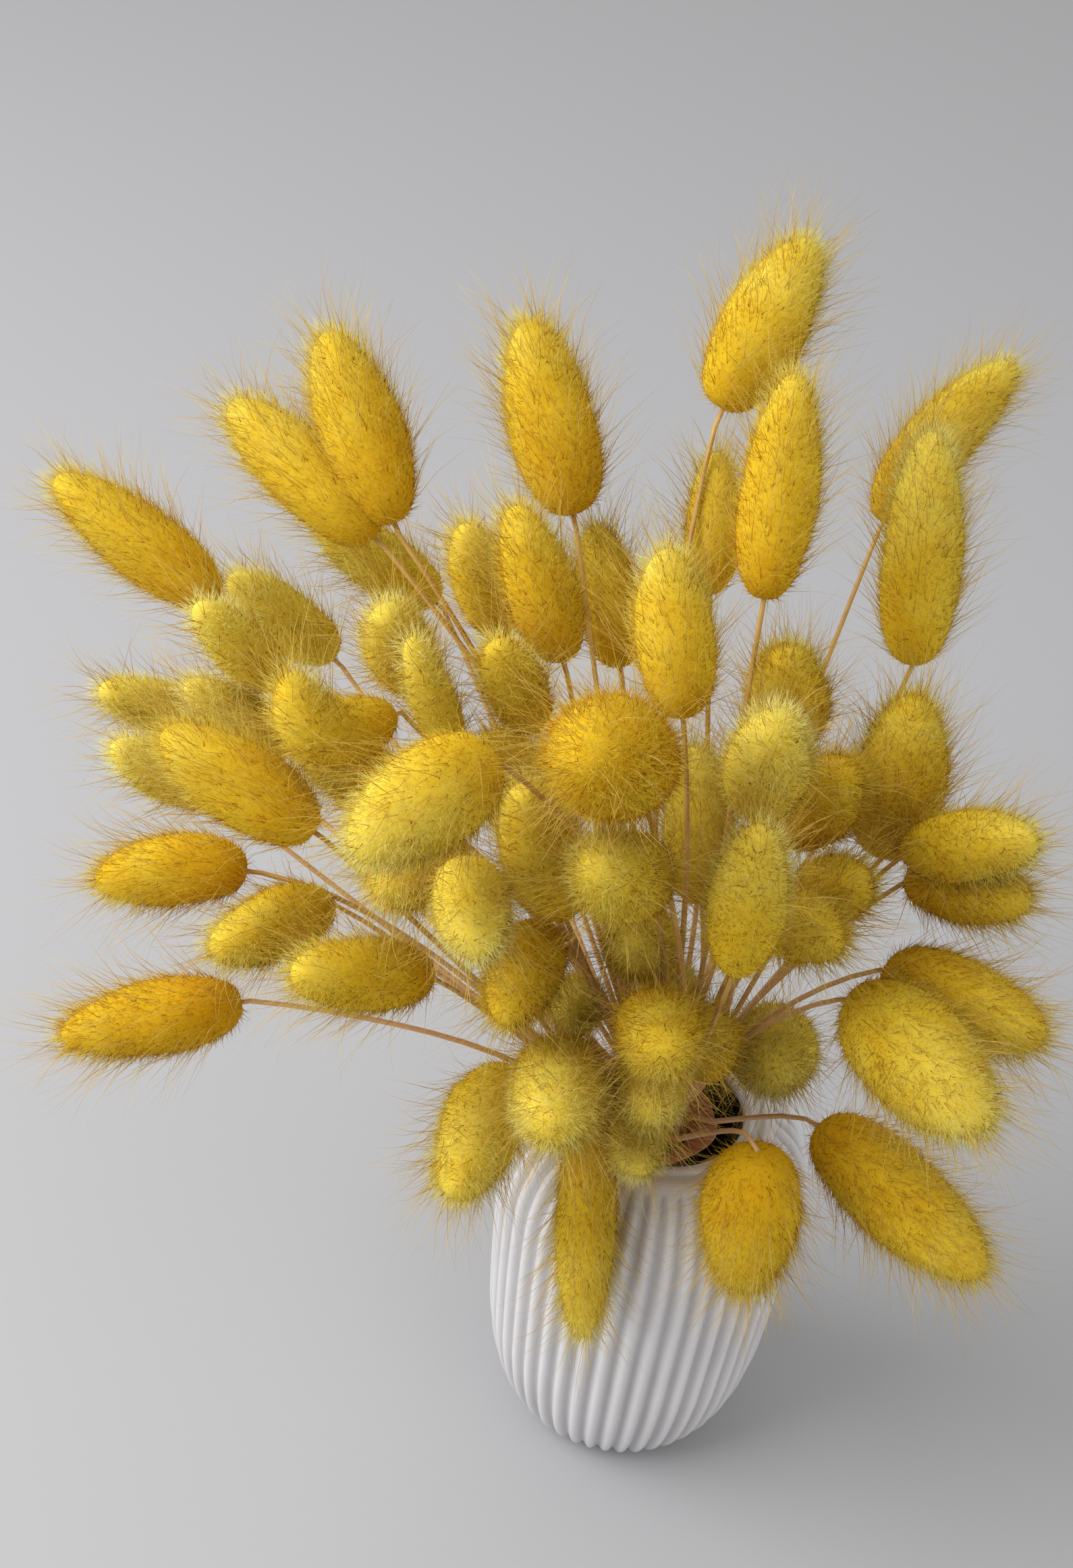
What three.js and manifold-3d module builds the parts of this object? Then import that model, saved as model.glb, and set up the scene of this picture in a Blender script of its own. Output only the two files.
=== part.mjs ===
// Dried bunny tail grass: dyed seed heads on thin straw stems, standing in a small fluted vase.
// Millimetres, +Z up. The origin is the centre of the vase's flat foot, and the photograph looks along +Y.
import * as THREE from "three";
import { mergeVertices } from "three/addons/utils/BufferGeometryUtils.js";
import Module from "manifold-3d";

// Vase: its outline is three curves of radius and height, each with two handles between its ends
const FOOT_RADIUS = 23.3;
const MOUTH_RADIUS = 22.4;
const VASE_HEIGHT = 110;
const FOOT_HANDLES = [[30.8, 4], [34.8, 14]];
const BODY_LOW = [36.8, 34];
const BODY_HANDLES = [[37.8, 50], [38.8, 68]];
const BODY_HIGH = [38.5, 84];
const SHOULDER_HANDLES = [[38.3, 97], [32.5, 107.5]];
const WALL = 3;
const FLOOR = 6;
const FLUTES = 44;
const FLUTE_DEPTH = 1.1;
const FLUTE_FOOT_FADE = 3;
const RIM_BAND = 4.5;
const RIM_FADE = 3.5;
const RIM_ROUND = 1.2;
const CAVITY_SIDES = 20;
const CAVITY_HEIGHTS = [14, 34, 84];
const CAVITY_SHOULDER_HEIGHTS = [98, 104];
const BODY_WALL_SHARE = 1.1;
const SHOULDER_WALL_SHARE = 1.5;
const LIP_FLARE = 0.8;

// Bunch of stems: where it leans on the rim, and the foot of the bundle on the vase's floor
const NECK = new THREE.Vector3(-2.5, -8.8, 112);
const NECK_RADIUS = 8.6;
const BUNCH_FOOT = new THREE.Vector3(1, 5, 6.3);
const BUNCH_FOOT_RADIUS = 9;
const BUNCH_RIBS = 10;
const BUNCH_RIB_SHARE = 0.12;
const BUNCH_LEVELS = [0, 0.6, 1];

// Stem: its section, its bends, and how it leaves the bunch and meets its head
const STEM_RADIUS = 0.75;
const STEM_SIDES = 3;
const STEM_PIECES = 3;
const STEM_TURN = 0.6;
const STEM_SPREAD = 0.07;
const LEAVE_SHARE = 0.36;
const ARRIVE_SHARE = 0.3;
const ROOT_DEPTH = 7;
const ROOT_INSET = 1.2;
const STEM_LEAD = 4;
const SEAT_GAP = 0.3;

// Seed head: a slim core with tufts standing out of it in staggered rows
const HEAD_SIDES = 8;
const HEAD_ROWS = 7;
const HEAD_BASE_RADIUS = 1.9;
const FIRST_ROW = 0.65;
const CORE_SHARE = 0.7;
const TUFT_LEAN = 0.75;
const LAST_TUFT_LEAN = 0.3;
const FULLEST_POWER = 0.8;
const ROUNDING_POWER = 0.55;
const BALL_PLACES = [0.07, 0.2, 0.34, 0.48, 0.62, 0.76, 0.9];

// Bristles: long fine hairs that stand out past the tufts
const BRISTLES = 5;
const BRISTLE_LENGTH = 15;
const BRISTLE_RADIUS = 0.5;
const BRISTLE_SIDES = 3;
const BRISTLE_ROOT_SHARE = 0.35;
const BRISTLE_FIRST = 0.12;
const BRISTLE_SPAN = 0.84;
const BRISTLE_LEAN = 0.75;
const TIP_LEAN = 1.2;
const TIP_START = 0.6;
const BRISTLE_TRIES = 40;
const BRISTLE_PROBES = [0.35, 0.5, 0.65, 0.8, 0.9, 1];
const LINE_PROBES = 12;

// Clearances between neighbours, and how heads and stems are moved to keep them
const HEAD_GAP = 0.8;
const STEM_GAP = 2;
const STEM_PITCH = 2.1;
const BRISTLE_GAP = 1.2;
const RIM_CLEARANCE = 4;
const SETTLE_ROUNDS = 600;
const SETTLE_SHARE = 0.3;
const SETTLE_STEP = 0.05;
const CLEAR_ROUNDS = 150;
const SMOOTH_SHARE = 0.12;
const PUSH_SHARE = 0.45;
const LIFT_STEP = 0.3;

// Finish: colour and roughness
const WHITE_GLAZE = [0xe9e8ea, 0.25];
const STRAW = [0xb98a5a, 0.7];
const YELLOW = [0xd9b93a, 0.9];

// The photograph's eye, the point it looks at, its roll, and its focal length in pixels of a 1590 x 2324 picture.
const EYE = new THREE.Vector3(0, -400.5, 538);
const AIM = new THREE.Vector3(-42, 0, 202);
const ROLL = THREE.MathUtils.degToRad(-7.5);
const FOCAL = 3502;
const PICTURE_CENTRE = [795, 1162];
const MOUTH_DEPTH = 580;

// Each seed head as the photograph shows it: the pixels of its base and of its tip, how many millimetres each of the
// two is nearer to the eye than the vase's mouth, its radius in millimetres, and for a curled head how far it bows.
// A head that is pressed into the head listed before it makes one piece with that head.
const HEADS = [
  { base: [1068, 605], tip: [1215, 330], near: [40, 50], radius: 10.6 },
  { base: [1132, 888], tip: [1185, 520], near: [62, 70], radius: 9 },
  { base: [582, 776], tip: [474, 464], near: [36, 45], radius: 10.6 },
  { base: [556, 796], tip: [320, 578], near: [34, 38], radius: 9.8, pressed: true },
  { base: [322, 888], tip: [58, 690], near: [26, 36], radius: 9 },
  { base: [850, 762], tip: [774, 448], near: [34, 46], radius: 10.8 },
  { base: [835, 978], tip: [755, 728], near: [62, 78], radius: 8.2 },
  { base: [742, 935], tip: [682, 765], near: [28, 58], radius: 7.4 },
  { base: [1308, 774], tip: [1528, 522], near: [-10, 4], radius: 9.2, bow: 6 },
  { base: [1352, 985], tip: [1386, 605], near: [24, 40], radius: 10 },
  { base: [1314, 1262], tip: [1360, 1012], near: [34, 64], radius: 11.4 },
  { base: [1012, 1062], tip: [985, 790], near: [84, 98], radius: 9 },
  { base: [1052, 880], tip: [1064, 650], near: [26, 36], radius: 7 },
  { base: [790, 1070], tip: [728, 945], near: [58, 94], radius: 7.2 },
  { base: [670, 1112], tip: [602, 930], near: [72, 98], radius: 5.2 },
  { base: [612, 1010], tip: [566, 895], near: [44, 86], radius: 8 },
  { base: [494, 972], tip: [326, 842], near: [-24, -2], radius: 8 },
  { base: [414, 1014], tip: [280, 885], near: [34, 62], radius: 6.8 },
  { base: [582, 1052], tip: [432, 966], near: [76, 98], radius: 8, bow: 22 },
  { base: [300, 1066], tip: [134, 1018], near: [-14, 14], radius: 6.8 },
  { base: [424, 1110], tip: [262, 1004], near: [28, 56], radius: 7 },
  { base: [466, 1232], tip: [218, 1070], near: [76, 86], radius: 9.6 },
  { base: [322, 1182], tip: [152, 1098], near: [14, 42], radius: 7 },
  { base: [604, 1180], tip: [446, 1112], near: [40, 68], radius: 8 },
  { base: [366, 1290], tip: [120, 1316], near: [40, 48], radius: 8.8, bow: -4 },
  { base: [484, 1338], tip: [300, 1416], near: [30, 62], radius: 8.6 },
  { base: [632, 1446], tip: [415, 1442], near: [54, 86], radius: 8.8 },
  { base: [358, 1484], tip: [64, 1540], near: [46, 56], radius: 9 },
  { base: [722, 1122], tip: [506, 1274], near: [112, 138], radius: 11 },
  { base: [662, 1260], tip: [560, 1320], near: [68, 106], radius: 9.4 },
  { base: [690, 1290], tip: [712, 1420], near: [72, 102], radius: 8.6 },
  { base: [802, 1380], tip: [742, 1522], near: [50, 82], radius: 8.8 },
  { base: [934, 1130], tip: [866, 1116], near: [104, 152], radius: 13.2 },
  { base: [955, 1306], tip: [876, 1288], near: [84, 126], radius: 10.2 },
  { base: [960, 1408], tip: [936, 1384], near: [34, 74], radius: 8.6 },
  { base: [1124, 1192], tip: [1156, 1052], near: [78, 112], radius: 9.6 },
  { base: [1090, 1432], tip: [1132, 1208], near: [88, 126], radius: 8.6 },
  { base: [1138, 1342], tip: [1246, 1404], near: [58, 92], radius: 8.8 },
  { base: [1196, 1336], tip: [1286, 1300], near: [56, 76], radius: 8.6, pressed: true },
  { base: [1180, 1232], tip: [1262, 1128], near: [44, 78], radius: 9.4 },
  { base: [1348, 1262], tip: [1552, 1244], near: [42, 78], radius: 8.6 },
  { base: [1352, 1304], tip: [1540, 1338], near: [34, 66], radius: 8.4, pressed: true },
  { base: [1312, 1438], tip: [1570, 1550], near: [52, 72], radius: 10.6 },
  { base: [1276, 1482], tip: [1474, 1688], near: [58, 100], radius: 12.8, pressed: true },
  { base: [1216, 1668], tip: [1480, 1912], near: [30, 56], radius: 11.4 },
  { base: [1122, 1706], tip: [1096, 1926], near: [62, 40], radius: 12 },
  { base: [1146, 1530], tip: [1144, 1592], near: [14, 58], radius: 11 },
  { base: [968, 1506], tip: [992, 1562], near: [26, 70], radius: 9.8 },
  { base: [962, 1588], tip: [962, 1652], near: [24, 62], radius: 8.6 },
  { base: [998, 1478], tip: [992, 1448], near: [8, 44], radius: 6.4 },
  { base: [942, 1660], tip: [946, 1738], near: [22, 54], radius: 6.8 },
  { base: [872, 1668], tip: [862, 2012], near: [30, 10], radius: 7.6 },
  { base: [836, 1570], tip: [816, 1682], near: [34, 86], radius: 11.2 },
  { base: [748, 1592], tip: [664, 1788], near: [20, 60], radius: 10.2 },
  { base: [862, 1478], tip: [846, 1502], near: [10, 48], radius: 6.8 },
  { base: [1168, 1092], tip: [1166, 958], near: [30, 64], radius: 10 },
  { base: [646, 886], tip: [462, 768], near: [-22, 2], radius: 8.4 },
  { base: [920, 988], tip: [878, 758], near: [12, 22], radius: 8 },
  { base: [832, 1348], tip: [768, 1150], near: [58, 92], radius: 9.6 },
  { base: [806, 1206], tip: [716, 1082], near: [16, 44], radius: 8.8 },
  { base: [1040, 1336], tip: [1030, 1084], near: [28, 46], radius: 9 },
  { base: [1050, 1580], tip: [1050, 1500], near: [28, 56], radius: 7.6 },
];

const manifold = await Module();
manifold.setup();

// Solids

function closedGeometry(points, faces) {
  const geometry = new THREE.BufferGeometry().setFromPoints(points);
  geometry.setIndex(faces);
  return geometry;
}

function toSolid(geometry) {
  const bare = geometry.clone();
  bare.deleteAttribute("normal");
  bare.deleteAttribute("uv");
  const merged = mergeVertices(bare, 1e-4);
  return new manifold.Manifold(
    new manifold.Mesh({
      numProp: 3,
      vertProperties: new Float32Array(merged.attributes.position.array),
      triVerts: new Uint32Array(merged.index.array),
    }),
  );
}

function toGeometry(solid) {
  const mesh = solid.getMesh();
  const geometry = new THREE.BufferGeometry();
  geometry.setAttribute("position", new THREE.BufferAttribute(mesh.vertProperties, 3));
  geometry.setIndex(new THREE.BufferAttribute(mesh.triVerts, 1));
  geometry.computeVertexNormals();
  return geometry;
}

// The pieces as one body: its outer skin alone, so pockets that the joining closes are filled.
function fuse(solids) {
  const whole = solids.reduce((joined, next) => joined.add(next));
  const bodies = whole.decompose().filter((body) => body.volume() > 0);
  if (bodies.length !== 1) throw new Error(`fused pieces stand apart as ${bodies.length} bodies`);
  return bodies[0];
}

// Rings of points joined to the next ring, with a flat or pointed end at each side.
function ringFaces(sides, rows) {
  const faces = [];
  for (let row = 0; row + 1 < rows; row++) {
    for (let side = 0; side < sides; side++) {
      const next = (side + 1) % sides;
      const here = row * sides + side;
      const beside = row * sides + next;
      const above = here + sides;
      const aboveBeside = beside + sides;
      const flip = (row + side) % 2 === 0;
      if (flip) faces.push(here, beside, above, beside, aboveBeside, above);
      else faces.push(here, beside, aboveBeside, here, aboveBeside, above);
    }
  }
  return faces;
}

function fanFaces(sides, first, pole, upward) {
  const faces = [];
  for (let side = 0; side < sides; side++) {
    const here = first + side;
    const beside = first + ((side + 1) % sides);
    faces.push(...(upward ? [here, beside, pole] : [beside, here, pole]));
  }
  return faces;
}

// Vase

function smoothStep(from, to, value) {
  return THREE.MathUtils.smoothstep(value, from, to);
}

// The outline: a round foot, a nearly straight body, and a round shoulder that closes to the mouth.
function vaseOutline() {
  const foot = [FOOT_RADIUS, 0];
  const mouth = [MOUTH_RADIUS, VASE_HEIGHT];
  const outline = new THREE.CurvePath();
  const addCurve = (...places) => {
    outline.add(new THREE.CubicBezierCurve(...places.map((place) => new THREE.Vector2(...place))));
  };
  addCurve(foot, ...FOOT_HANDLES, BODY_LOW);
  addCurve(BODY_LOW, ...BODY_HANDLES, BODY_HIGH);
  addCurve(BODY_HIGH, ...SHOULDER_HANDLES, mouth);
  return outline;
}

const OUTLINE = vaseOutline();
const OUTLINE_STEPS = [3, 1, 4];
const OUTLINE_FINE_STEPS = [16, 8, 16];

function outlinePoints(steps) {
  const points = [];
  OUTLINE.curves.forEach((curve, index) => {
    const count = steps[index];
    for (let step = index === 0 ? 0 : 1; step <= count; step++) points.push(curve.getPoint(step / count));
  });
  return points;
}

const OUTLINE_FINE = outlinePoints(OUTLINE_FINE_STEPS);

function vaseRadius(height) {
  if (height <= 0) return FOOT_RADIUS;
  for (let i = 1; i < OUTLINE_FINE.length; i++) {
    const low = OUTLINE_FINE[i - 1];
    const high = OUTLINE_FINE[i];
    if (height <= high.y) return THREE.MathUtils.mapLinear(height, low.y, high.y, low.x, high.x);
  }
  return MOUTH_RADIUS;
}

// How much of the flute's depth is cut at a height: none on the foot's edge or on the smooth band under the rim.
function fluteShare(height, radius) {
  const belowRim = Math.hypot(VASE_HEIGHT - height, radius - MOUTH_RADIUS);
  return smoothStep(0, FLUTE_FOOT_FADE, height) * smoothStep(RIM_BAND, RIM_BAND + RIM_FADE, belowRim);
}

function vaseSolid() {
  const around = 2 * FLUTES;
  const outline = outlinePoints(OUTLINE_STEPS);
  outline.at(-1).y -= RIM_ROUND;
  outline.push(new THREE.Vector2(MOUTH_RADIUS - RIM_ROUND, VASE_HEIGHT));
  const points = [];
  for (const { x: radius, y: height } of outline) {
    const depth = FLUTE_DEPTH * fluteShare(height, radius);
    for (let i = 0; i < around; i++) {
      const angle = (i * Math.PI) / FLUTES - Math.PI / 2;
      const reach = i % 2 === 0 ? radius - depth : radius;
      points.push(new THREE.Vector3(reach * Math.cos(angle), reach * Math.sin(angle), height));
    }
  }
  points.push(new THREE.Vector3(0, 0, 0), new THREE.Vector3(0, 0, VASE_HEIGHT));
  const faces = [
    ...ringFaces(around, outline.length),
    ...fanFaces(around, 0, points.length - 2, false),
    ...fanFaces(around, (outline.length - 1) * around, points.length - 1, true),
  ];
  return toSolid(closedGeometry(points, faces)).subtract(cavitySolid());
}

// The hollow follows the outside a wall's thickness in, and flares at the lip.
function cavitySolid() {
  const lip = MOUTH_RADIUS - WALL;
  const profile = [
    [0, FLOOR],
    [vaseRadius(FLOOR) - 2 * WALL, FLOOR],
    ...CAVITY_HEIGHTS.map((height) => [vaseRadius(height) - BODY_WALL_SHARE * WALL, height]),
    ...CAVITY_SHOULDER_HEIGHTS.map((height) => [vaseRadius(height) - SHOULDER_WALL_SHARE * WALL, height]),
    [lip, VASE_HEIGHT - WALL],
    [lip, VASE_HEIGHT - RIM_ROUND],
    [lip + LIP_FLARE, VASE_HEIGHT + 1],
    [0, VASE_HEIGHT + 1],
  ];
  const inner = profile.map((place) => new THREE.Vector2(...place));
  return toSolid(new THREE.LatheGeometry(inner, CAVITY_SIDES).rotateX(Math.PI / 2));
}

// Seed heads in space

const FORWARD = new THREE.Vector3().subVectors(AIM, EYE).normalize();
const LEVEL_RIGHT = new THREE.Vector3().crossVectors(FORWARD, new THREE.Vector3(0, 0, 1)).normalize();
const RIGHT = LEVEL_RIGHT.clone().applyAxisAngle(FORWARD, ROLL);
const UP = new THREE.Vector3().crossVectors(RIGHT, FORWARD);

// The point in space behind a pixel of the photograph, a given distance nearer than the vase's mouth.
function sight([x, y], near) {
  const ray = FORWARD.clone();
  ray.addScaledVector(RIGHT, (x - PICTURE_CENTRE[0]) / FOCAL);
  ray.addScaledVector(UP, (PICTURE_CENTRE[1] - y) / FOCAL);
  return ray.multiplyScalar(MOUTH_DEPTH - near).add(EYE);
}

// The head's half width along its length: round at the base, fullest before the middle, drawn in at the tip.
function headRadius(head, t) {
  return head.radius * Math.sin(Math.PI * t ** FULLEST_POWER) ** ROUNDING_POWER;
}

// The heads as clusters: most hold one head, and a pressed pair moves and is named together.
function clusterHeads(rows) {
  const clusters = [];
  rows.forEach((row, index) => {
    if (!row.pressed) clusters.push({ shift: 0, heads: [] });
    const cluster = clusters.at(-1);
    cluster.heads.push({ ...row, cluster, number: String(index + 1).padStart(2, "0") });
  });
  return clusters;
}

function placeHead(head) {
  const base = sight(head.base, head.near[0] + head.cluster.shift);
  const tip = sight(head.tip, head.near[1] + head.cluster.shift);
  const chord = tip.clone().sub(base);
  const toEye = EYE.clone().sub(base).normalize();
  const aside = new THREE.Vector3().crossVectors(toEye, chord).normalize();
  const middle = base.clone().lerp(tip, 0.5).addScaledVector(aside, head.bow ?? 0);
  head.axis = new THREE.QuadraticBezierCurve3(base, middle, tip);
  head.facing = new THREE.Vector3().crossVectors(chord, aside).normalize();
  head.balls = BALL_PLACES.map((t) => ({
    centre: head.axis.getPoint(t),
    radius: headRadius(head, t),
  }));
}

// Soft heads press together. Here clusters stand a little apart, each moved along its own line of sight.
function settleClusters(clusters) {
  const order = [...clusters].sort((a, b) => meanNear(a) - meanNear(b));
  for (let round = 0; round < SETTLE_ROUNDS; round++) {
    let moved = false;
    order.forEach((far, index) => {
      for (const nearer of order.slice(index + 1)) {
        const overlap = pressing(far, nearer);
        if (overlap <= 0) continue;
        const step = SETTLE_SHARE * overlap + SETTLE_STEP;
        moveCluster(far, -step);
        moveCluster(nearer, step);
        moved = true;
      }
      const sunk = vaseOverlap(far);
      if (sunk > 0) {
        moveCluster(far, sunk);
        moved = true;
      }
    });
    if (!moved) return;
  }
  throw new Error("the seed heads don't settle");
}

function moveCluster(cluster, step) {
  cluster.shift += step;
  cluster.heads.forEach(placeHead);
}

function meanNear({ heads }) {
  return heads.reduce((sum, head) => sum + head.near[0] + head.near[1], 0) / (2 * heads.length);
}

function ballsOf(cluster) {
  return cluster.heads.flatMap((head) => head.balls);
}

function pressing(a, b) {
  let overlap = -Infinity;
  for (const ball of ballsOf(a)) {
    for (const other of ballsOf(b)) {
      overlap = Math.max(overlap, ball.radius + other.radius + HEAD_GAP - ball.centre.distanceTo(other.centre));
    }
  }
  return overlap;
}

function vaseOverlap(cluster) {
  return Math.max(...ballsOf(cluster).map(({ centre, radius }) => vaseDepth(centre, radius + HEAD_GAP)));
}

// How deep a ball reaches into the vase's outside, measured from its outline, its mouth taken as closed.
function vaseDepth(centre, radius) {
  const out = Math.hypot(centre.x, centre.y);
  let nearest = Infinity;
  for (const point of OUTLINE_FINE) nearest = Math.min(nearest, Math.hypot(point.x - out, point.y - centre.z));
  const overMouth = out < MOUTH_RADIUS ? centre.z - VASE_HEIGHT : Infinity;
  return radius - Math.min(nearest, overMouth);
}

function frameAt(head, t) {
  const along = head.axis.getTangent(t);
  const side = head.facing.clone().addScaledVector(along, -head.facing.dot(along)).normalize();
  return { point: head.axis.getPoint(t), along, side, across: new THREE.Vector3().crossVectors(along, side) };
}

function aroundFrame({ point, side, across }, angle, reach) {
  return point
    .clone()
    .addScaledVector(side, reach * Math.cos(angle))
    .addScaledVector(across, reach * Math.sin(angle));
}

// Every second point of the net stands out as a tuft and leans to the tip.
function tuftedBody(head) {
  const rowLength = head.axis.getLength() / HEAD_ROWS;
  const points = [];
  for (let row = 0; row <= HEAD_ROWS; row++) {
    const t = row === 0 ? 0 : (row - 1 + FIRST_ROW) / HEAD_ROWS;
    const frame = frameAt(head, t);
    const full = row === 0 ? HEAD_BASE_RADIUS : headRadius(head, t);
    const lean = rowLength * (row < HEAD_ROWS ? TUFT_LEAN : LAST_TUFT_LEAN);
    for (let side = 0; side < HEAD_SIDES; side++) {
      const raised = row > 0 && (row + side) % 2 === 1;
      const reach = row === 0 || raised ? full : full * CORE_SHARE;
      const point = aroundFrame(frame, (side * 2 * Math.PI) / HEAD_SIDES, reach);
      points.push(raised ? point.addScaledVector(frame.along, lean) : point);
    }
  }
  const last = HEAD_ROWS * HEAD_SIDES;
  points.push(head.axis.getPoint(1), head.axis.getPoint(0));
  const faces = [
    ...ringFaces(HEAD_SIDES, HEAD_ROWS + 1),
    ...fanFaces(HEAD_SIDES, last, points.length - 2, true),
    ...fanFaces(HEAD_SIDES, 0, points.length - 1, false),
  ];
  return toSolid(closedGeometry(points, faces));
}

// Bristles

// A turn that never repeats spreads things evenly round an axis, and its share does so along it.
const GOLDEN_TURN = Math.PI * (3 - Math.sqrt(5));
const GOLDEN_SHARE = (Math.sqrt(5) - 1) / 2;

function bristleAt(head, number) {
  const t = BRISTLE_FIRST + BRISTLE_SPAN * ((number * GOLDEN_SHARE) % 1);
  const frame = frameAt(head, t);
  const angle = number * GOLDEN_TURN;
  const root = aroundFrame(frame, angle, BRISTLE_ROOT_SHARE * headRadius(head, t));
  const out = aroundFrame(frame, angle, 1).sub(frame.point);
  const lean = BRISTLE_LEAN + TIP_LEAN * Math.max(0, t - TIP_START);
  const aim = out.addScaledVector(frame.along, lean).normalize();
  const end = aroundFrame(frame, angle, headRadius(head, t)).addScaledVector(aim, BRISTLE_LENGTH);
  return new THREE.Line3(root, end);
}

function bristleIsClear(bristle, head, heads, stems, taken) {
  for (const step of BRISTLE_PROBES) {
    const point = bristle.at(step, new THREE.Vector3());
    if (vaseDepth(point, BRISTLE_GAP) > 0) return false;
    for (const other of heads) {
      if (other === head) continue;
      if (other.balls.some(({ centre, radius }) => centre.distanceTo(point) < radius + BRISTLE_GAP)) return false;
    }
  }
  const gap = STEM_RADIUS + BRISTLE_GAP;
  if (stems.some((path) => segments(path).some((segment) => lineGap(bristle, segment) < gap))) return false;
  return !taken.some((other) => lineGap(bristle, other) < BRISTLE_GAP);
}

function segments(path) {
  return path.slice(1).map((point, index) => new THREE.Line3(path[index], point));
}

// The shortest distance between two straight pieces.
function lineGap(a, b) {
  let gap = Infinity;
  const point = new THREE.Vector3();
  const near = new THREE.Vector3();
  for (let step = 0; step <= LINE_PROBES; step++) {
    a.at(step / LINE_PROBES, point);
    b.closestPointToPoint(point, true, near);
    gap = Math.min(gap, near.distanceTo(point));
  }
  return gap;
}

function chooseBristles(head, heads, stems, taken) {
  const chosen = [];
  for (let number = 1; number <= BRISTLE_TRIES && chosen.length < BRISTLES; number++) {
    const bristle = bristleAt(head, number);
    if (bristleIsClear(bristle, head, heads, stems, taken)) {
      chosen.push(bristle);
      taken.push(bristle);
    }
  }
  return chosen;
}

function bristleSolid(bristle) {
  const along = bristle.delta(new THREE.Vector3());
  const cone = new THREE.ConeGeometry(BRISTLE_RADIUS, along.length(), BRISTLE_SIDES);
  cone.translate(0, along.length() / 2, 0);
  const turn = new THREE.Quaternion().setFromUnitVectors(new THREE.Vector3(0, 1, 0), along.normalize());
  cone.applyQuaternion(turn).translate(bristle.start.x, bristle.start.y, bristle.start.z);
  return toSolid(cone);
}

function clusterSolid(cluster, bristles) {
  return fuse([...cluster.heads.map(tuftedBody), ...bristles.map(bristleSolid)]);
}

// Stems

const BUNCH_AXIS = NECK.clone().sub(BUNCH_FOOT).normalize();
const BUNCH_SIDE = new THREE.Vector3(1, 0, 0).addScaledVector(BUNCH_AXIS, -BUNCH_AXIS.x).normalize();
const BUNCH_BACK = new THREE.Vector3().crossVectors(BUNCH_AXIS, BUNCH_SIDE);

function acrossBunch(centre, angle, reach) {
  return aroundFrame({ point: centre, side: BUNCH_SIDE, across: BUNCH_BACK }, angle, reach);
}

// Roots fill the neck from the middle out, and each takes the place on the side that its head is on.
function assignRoots(heads) {
  const places = heads.map((_, index) => {
    const reach = (NECK_RADIUS - ROOT_INSET) * Math.sqrt((index + 0.5) / heads.length);
    return acrossBunch(NECK, index * GOLDEN_TURN, reach);
  });
  for (const head of [...heads].sort((a, b) => outwardness(b) - outwardness(a))) {
    const wish = head.axis.getPoint(0).sub(NECK);
    wish.addScaledVector(BUNCH_AXIS, -wish.dot(BUNCH_AXIS)).setLength(NECK_RADIUS * outwardness(head)).add(NECK);
    places.sort((a, b) => a.distanceTo(wish) - b.distanceTo(wish));
    head.root = places.shift();
  }
}

// How far a head leans out from the bunch's own direction, in radians.
function outwardness(head) {
  return head.axis.getPoint(0).sub(NECK).angleTo(BUNCH_AXIS);
}

function stemPath(head) {
  const tangent = head.axis.getTangent(0);
  const end = head.axis.getPoint(0).addScaledVector(tangent, -SEAT_GAP);
  const length = end.distanceTo(head.root);
  const spread = head.root.clone().sub(NECK).multiplyScalar(STEM_SPREAD);
  const leave = head.root.clone().addScaledVector(spread.add(BUNCH_AXIS), LEAVE_SHARE * length);
  const arrive = end.clone().addScaledVector(tangent, -ARRIVE_SHARE * length);
  const lead = end.clone().addScaledVector(tangent, -STEM_LEAD);
  const curve = new THREE.CubicBezierCurve3(head.root, leave, arrive, lead);
  const bends = Math.round(tangent.angleTo(BUNCH_AXIS) / STEM_TURN);
  return [...curve.getSpacedPoints(STEM_PIECES + bends), end];
}

// Moves the middle points of each stem off the heads, the vase and the other stems.
function clearStems(heads, paths) {
  for (let round = 0; round < CLEAR_ROUNDS; round++) {
    paths.forEach((path, index) => {
      for (let i = 1; i < path.length - 2; i++) {
        const push = new THREE.Vector3();
        const smooth = path[i - 1].clone().add(path[i + 1]).multiplyScalar(0.5).sub(path[i]);
        push.addScaledVector(smooth, SMOOTH_SHARE);
        heads.forEach((head, owner) => {
          const reach = owner === index ? 0 : STEM_GAP;
          for (const ball of head.balls) pushOff(path, i, ball.centre, ball.radius + reach, push);
        });
        paths.forEach((other, otherIndex) => {
          if (otherIndex === index) return;
          for (const point of other.slice(1)) pushPoint(path[i], point, STEM_PITCH, push);
        });
        if (path[i].z < VASE_HEIGHT + RIM_CLEARANCE) push.z += LIFT_STEP;
        path[i].add(push);
      }
    });
  }
}

// Pushes a path's point so that the two pieces that meet there stay outside a ball.
function pushOff(path, index, centre, radius, push) {
  const near = new THREE.Vector3();
  for (const neighbour of [index - 1, index + 1]) {
    const piece = new THREE.Line3(path[index], path[neighbour]);
    piece.closestPointToPoint(centre, true, near);
    pushPoint(near, centre, radius, push);
  }
}

function pushPoint(point, centre, radius, push) {
  const gap = point.distanceTo(centre);
  if (gap >= radius || gap === 0) return;
  push.add(point.clone().sub(centre).setLength(PUSH_SHARE * (radius - gap)));
}

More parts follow.
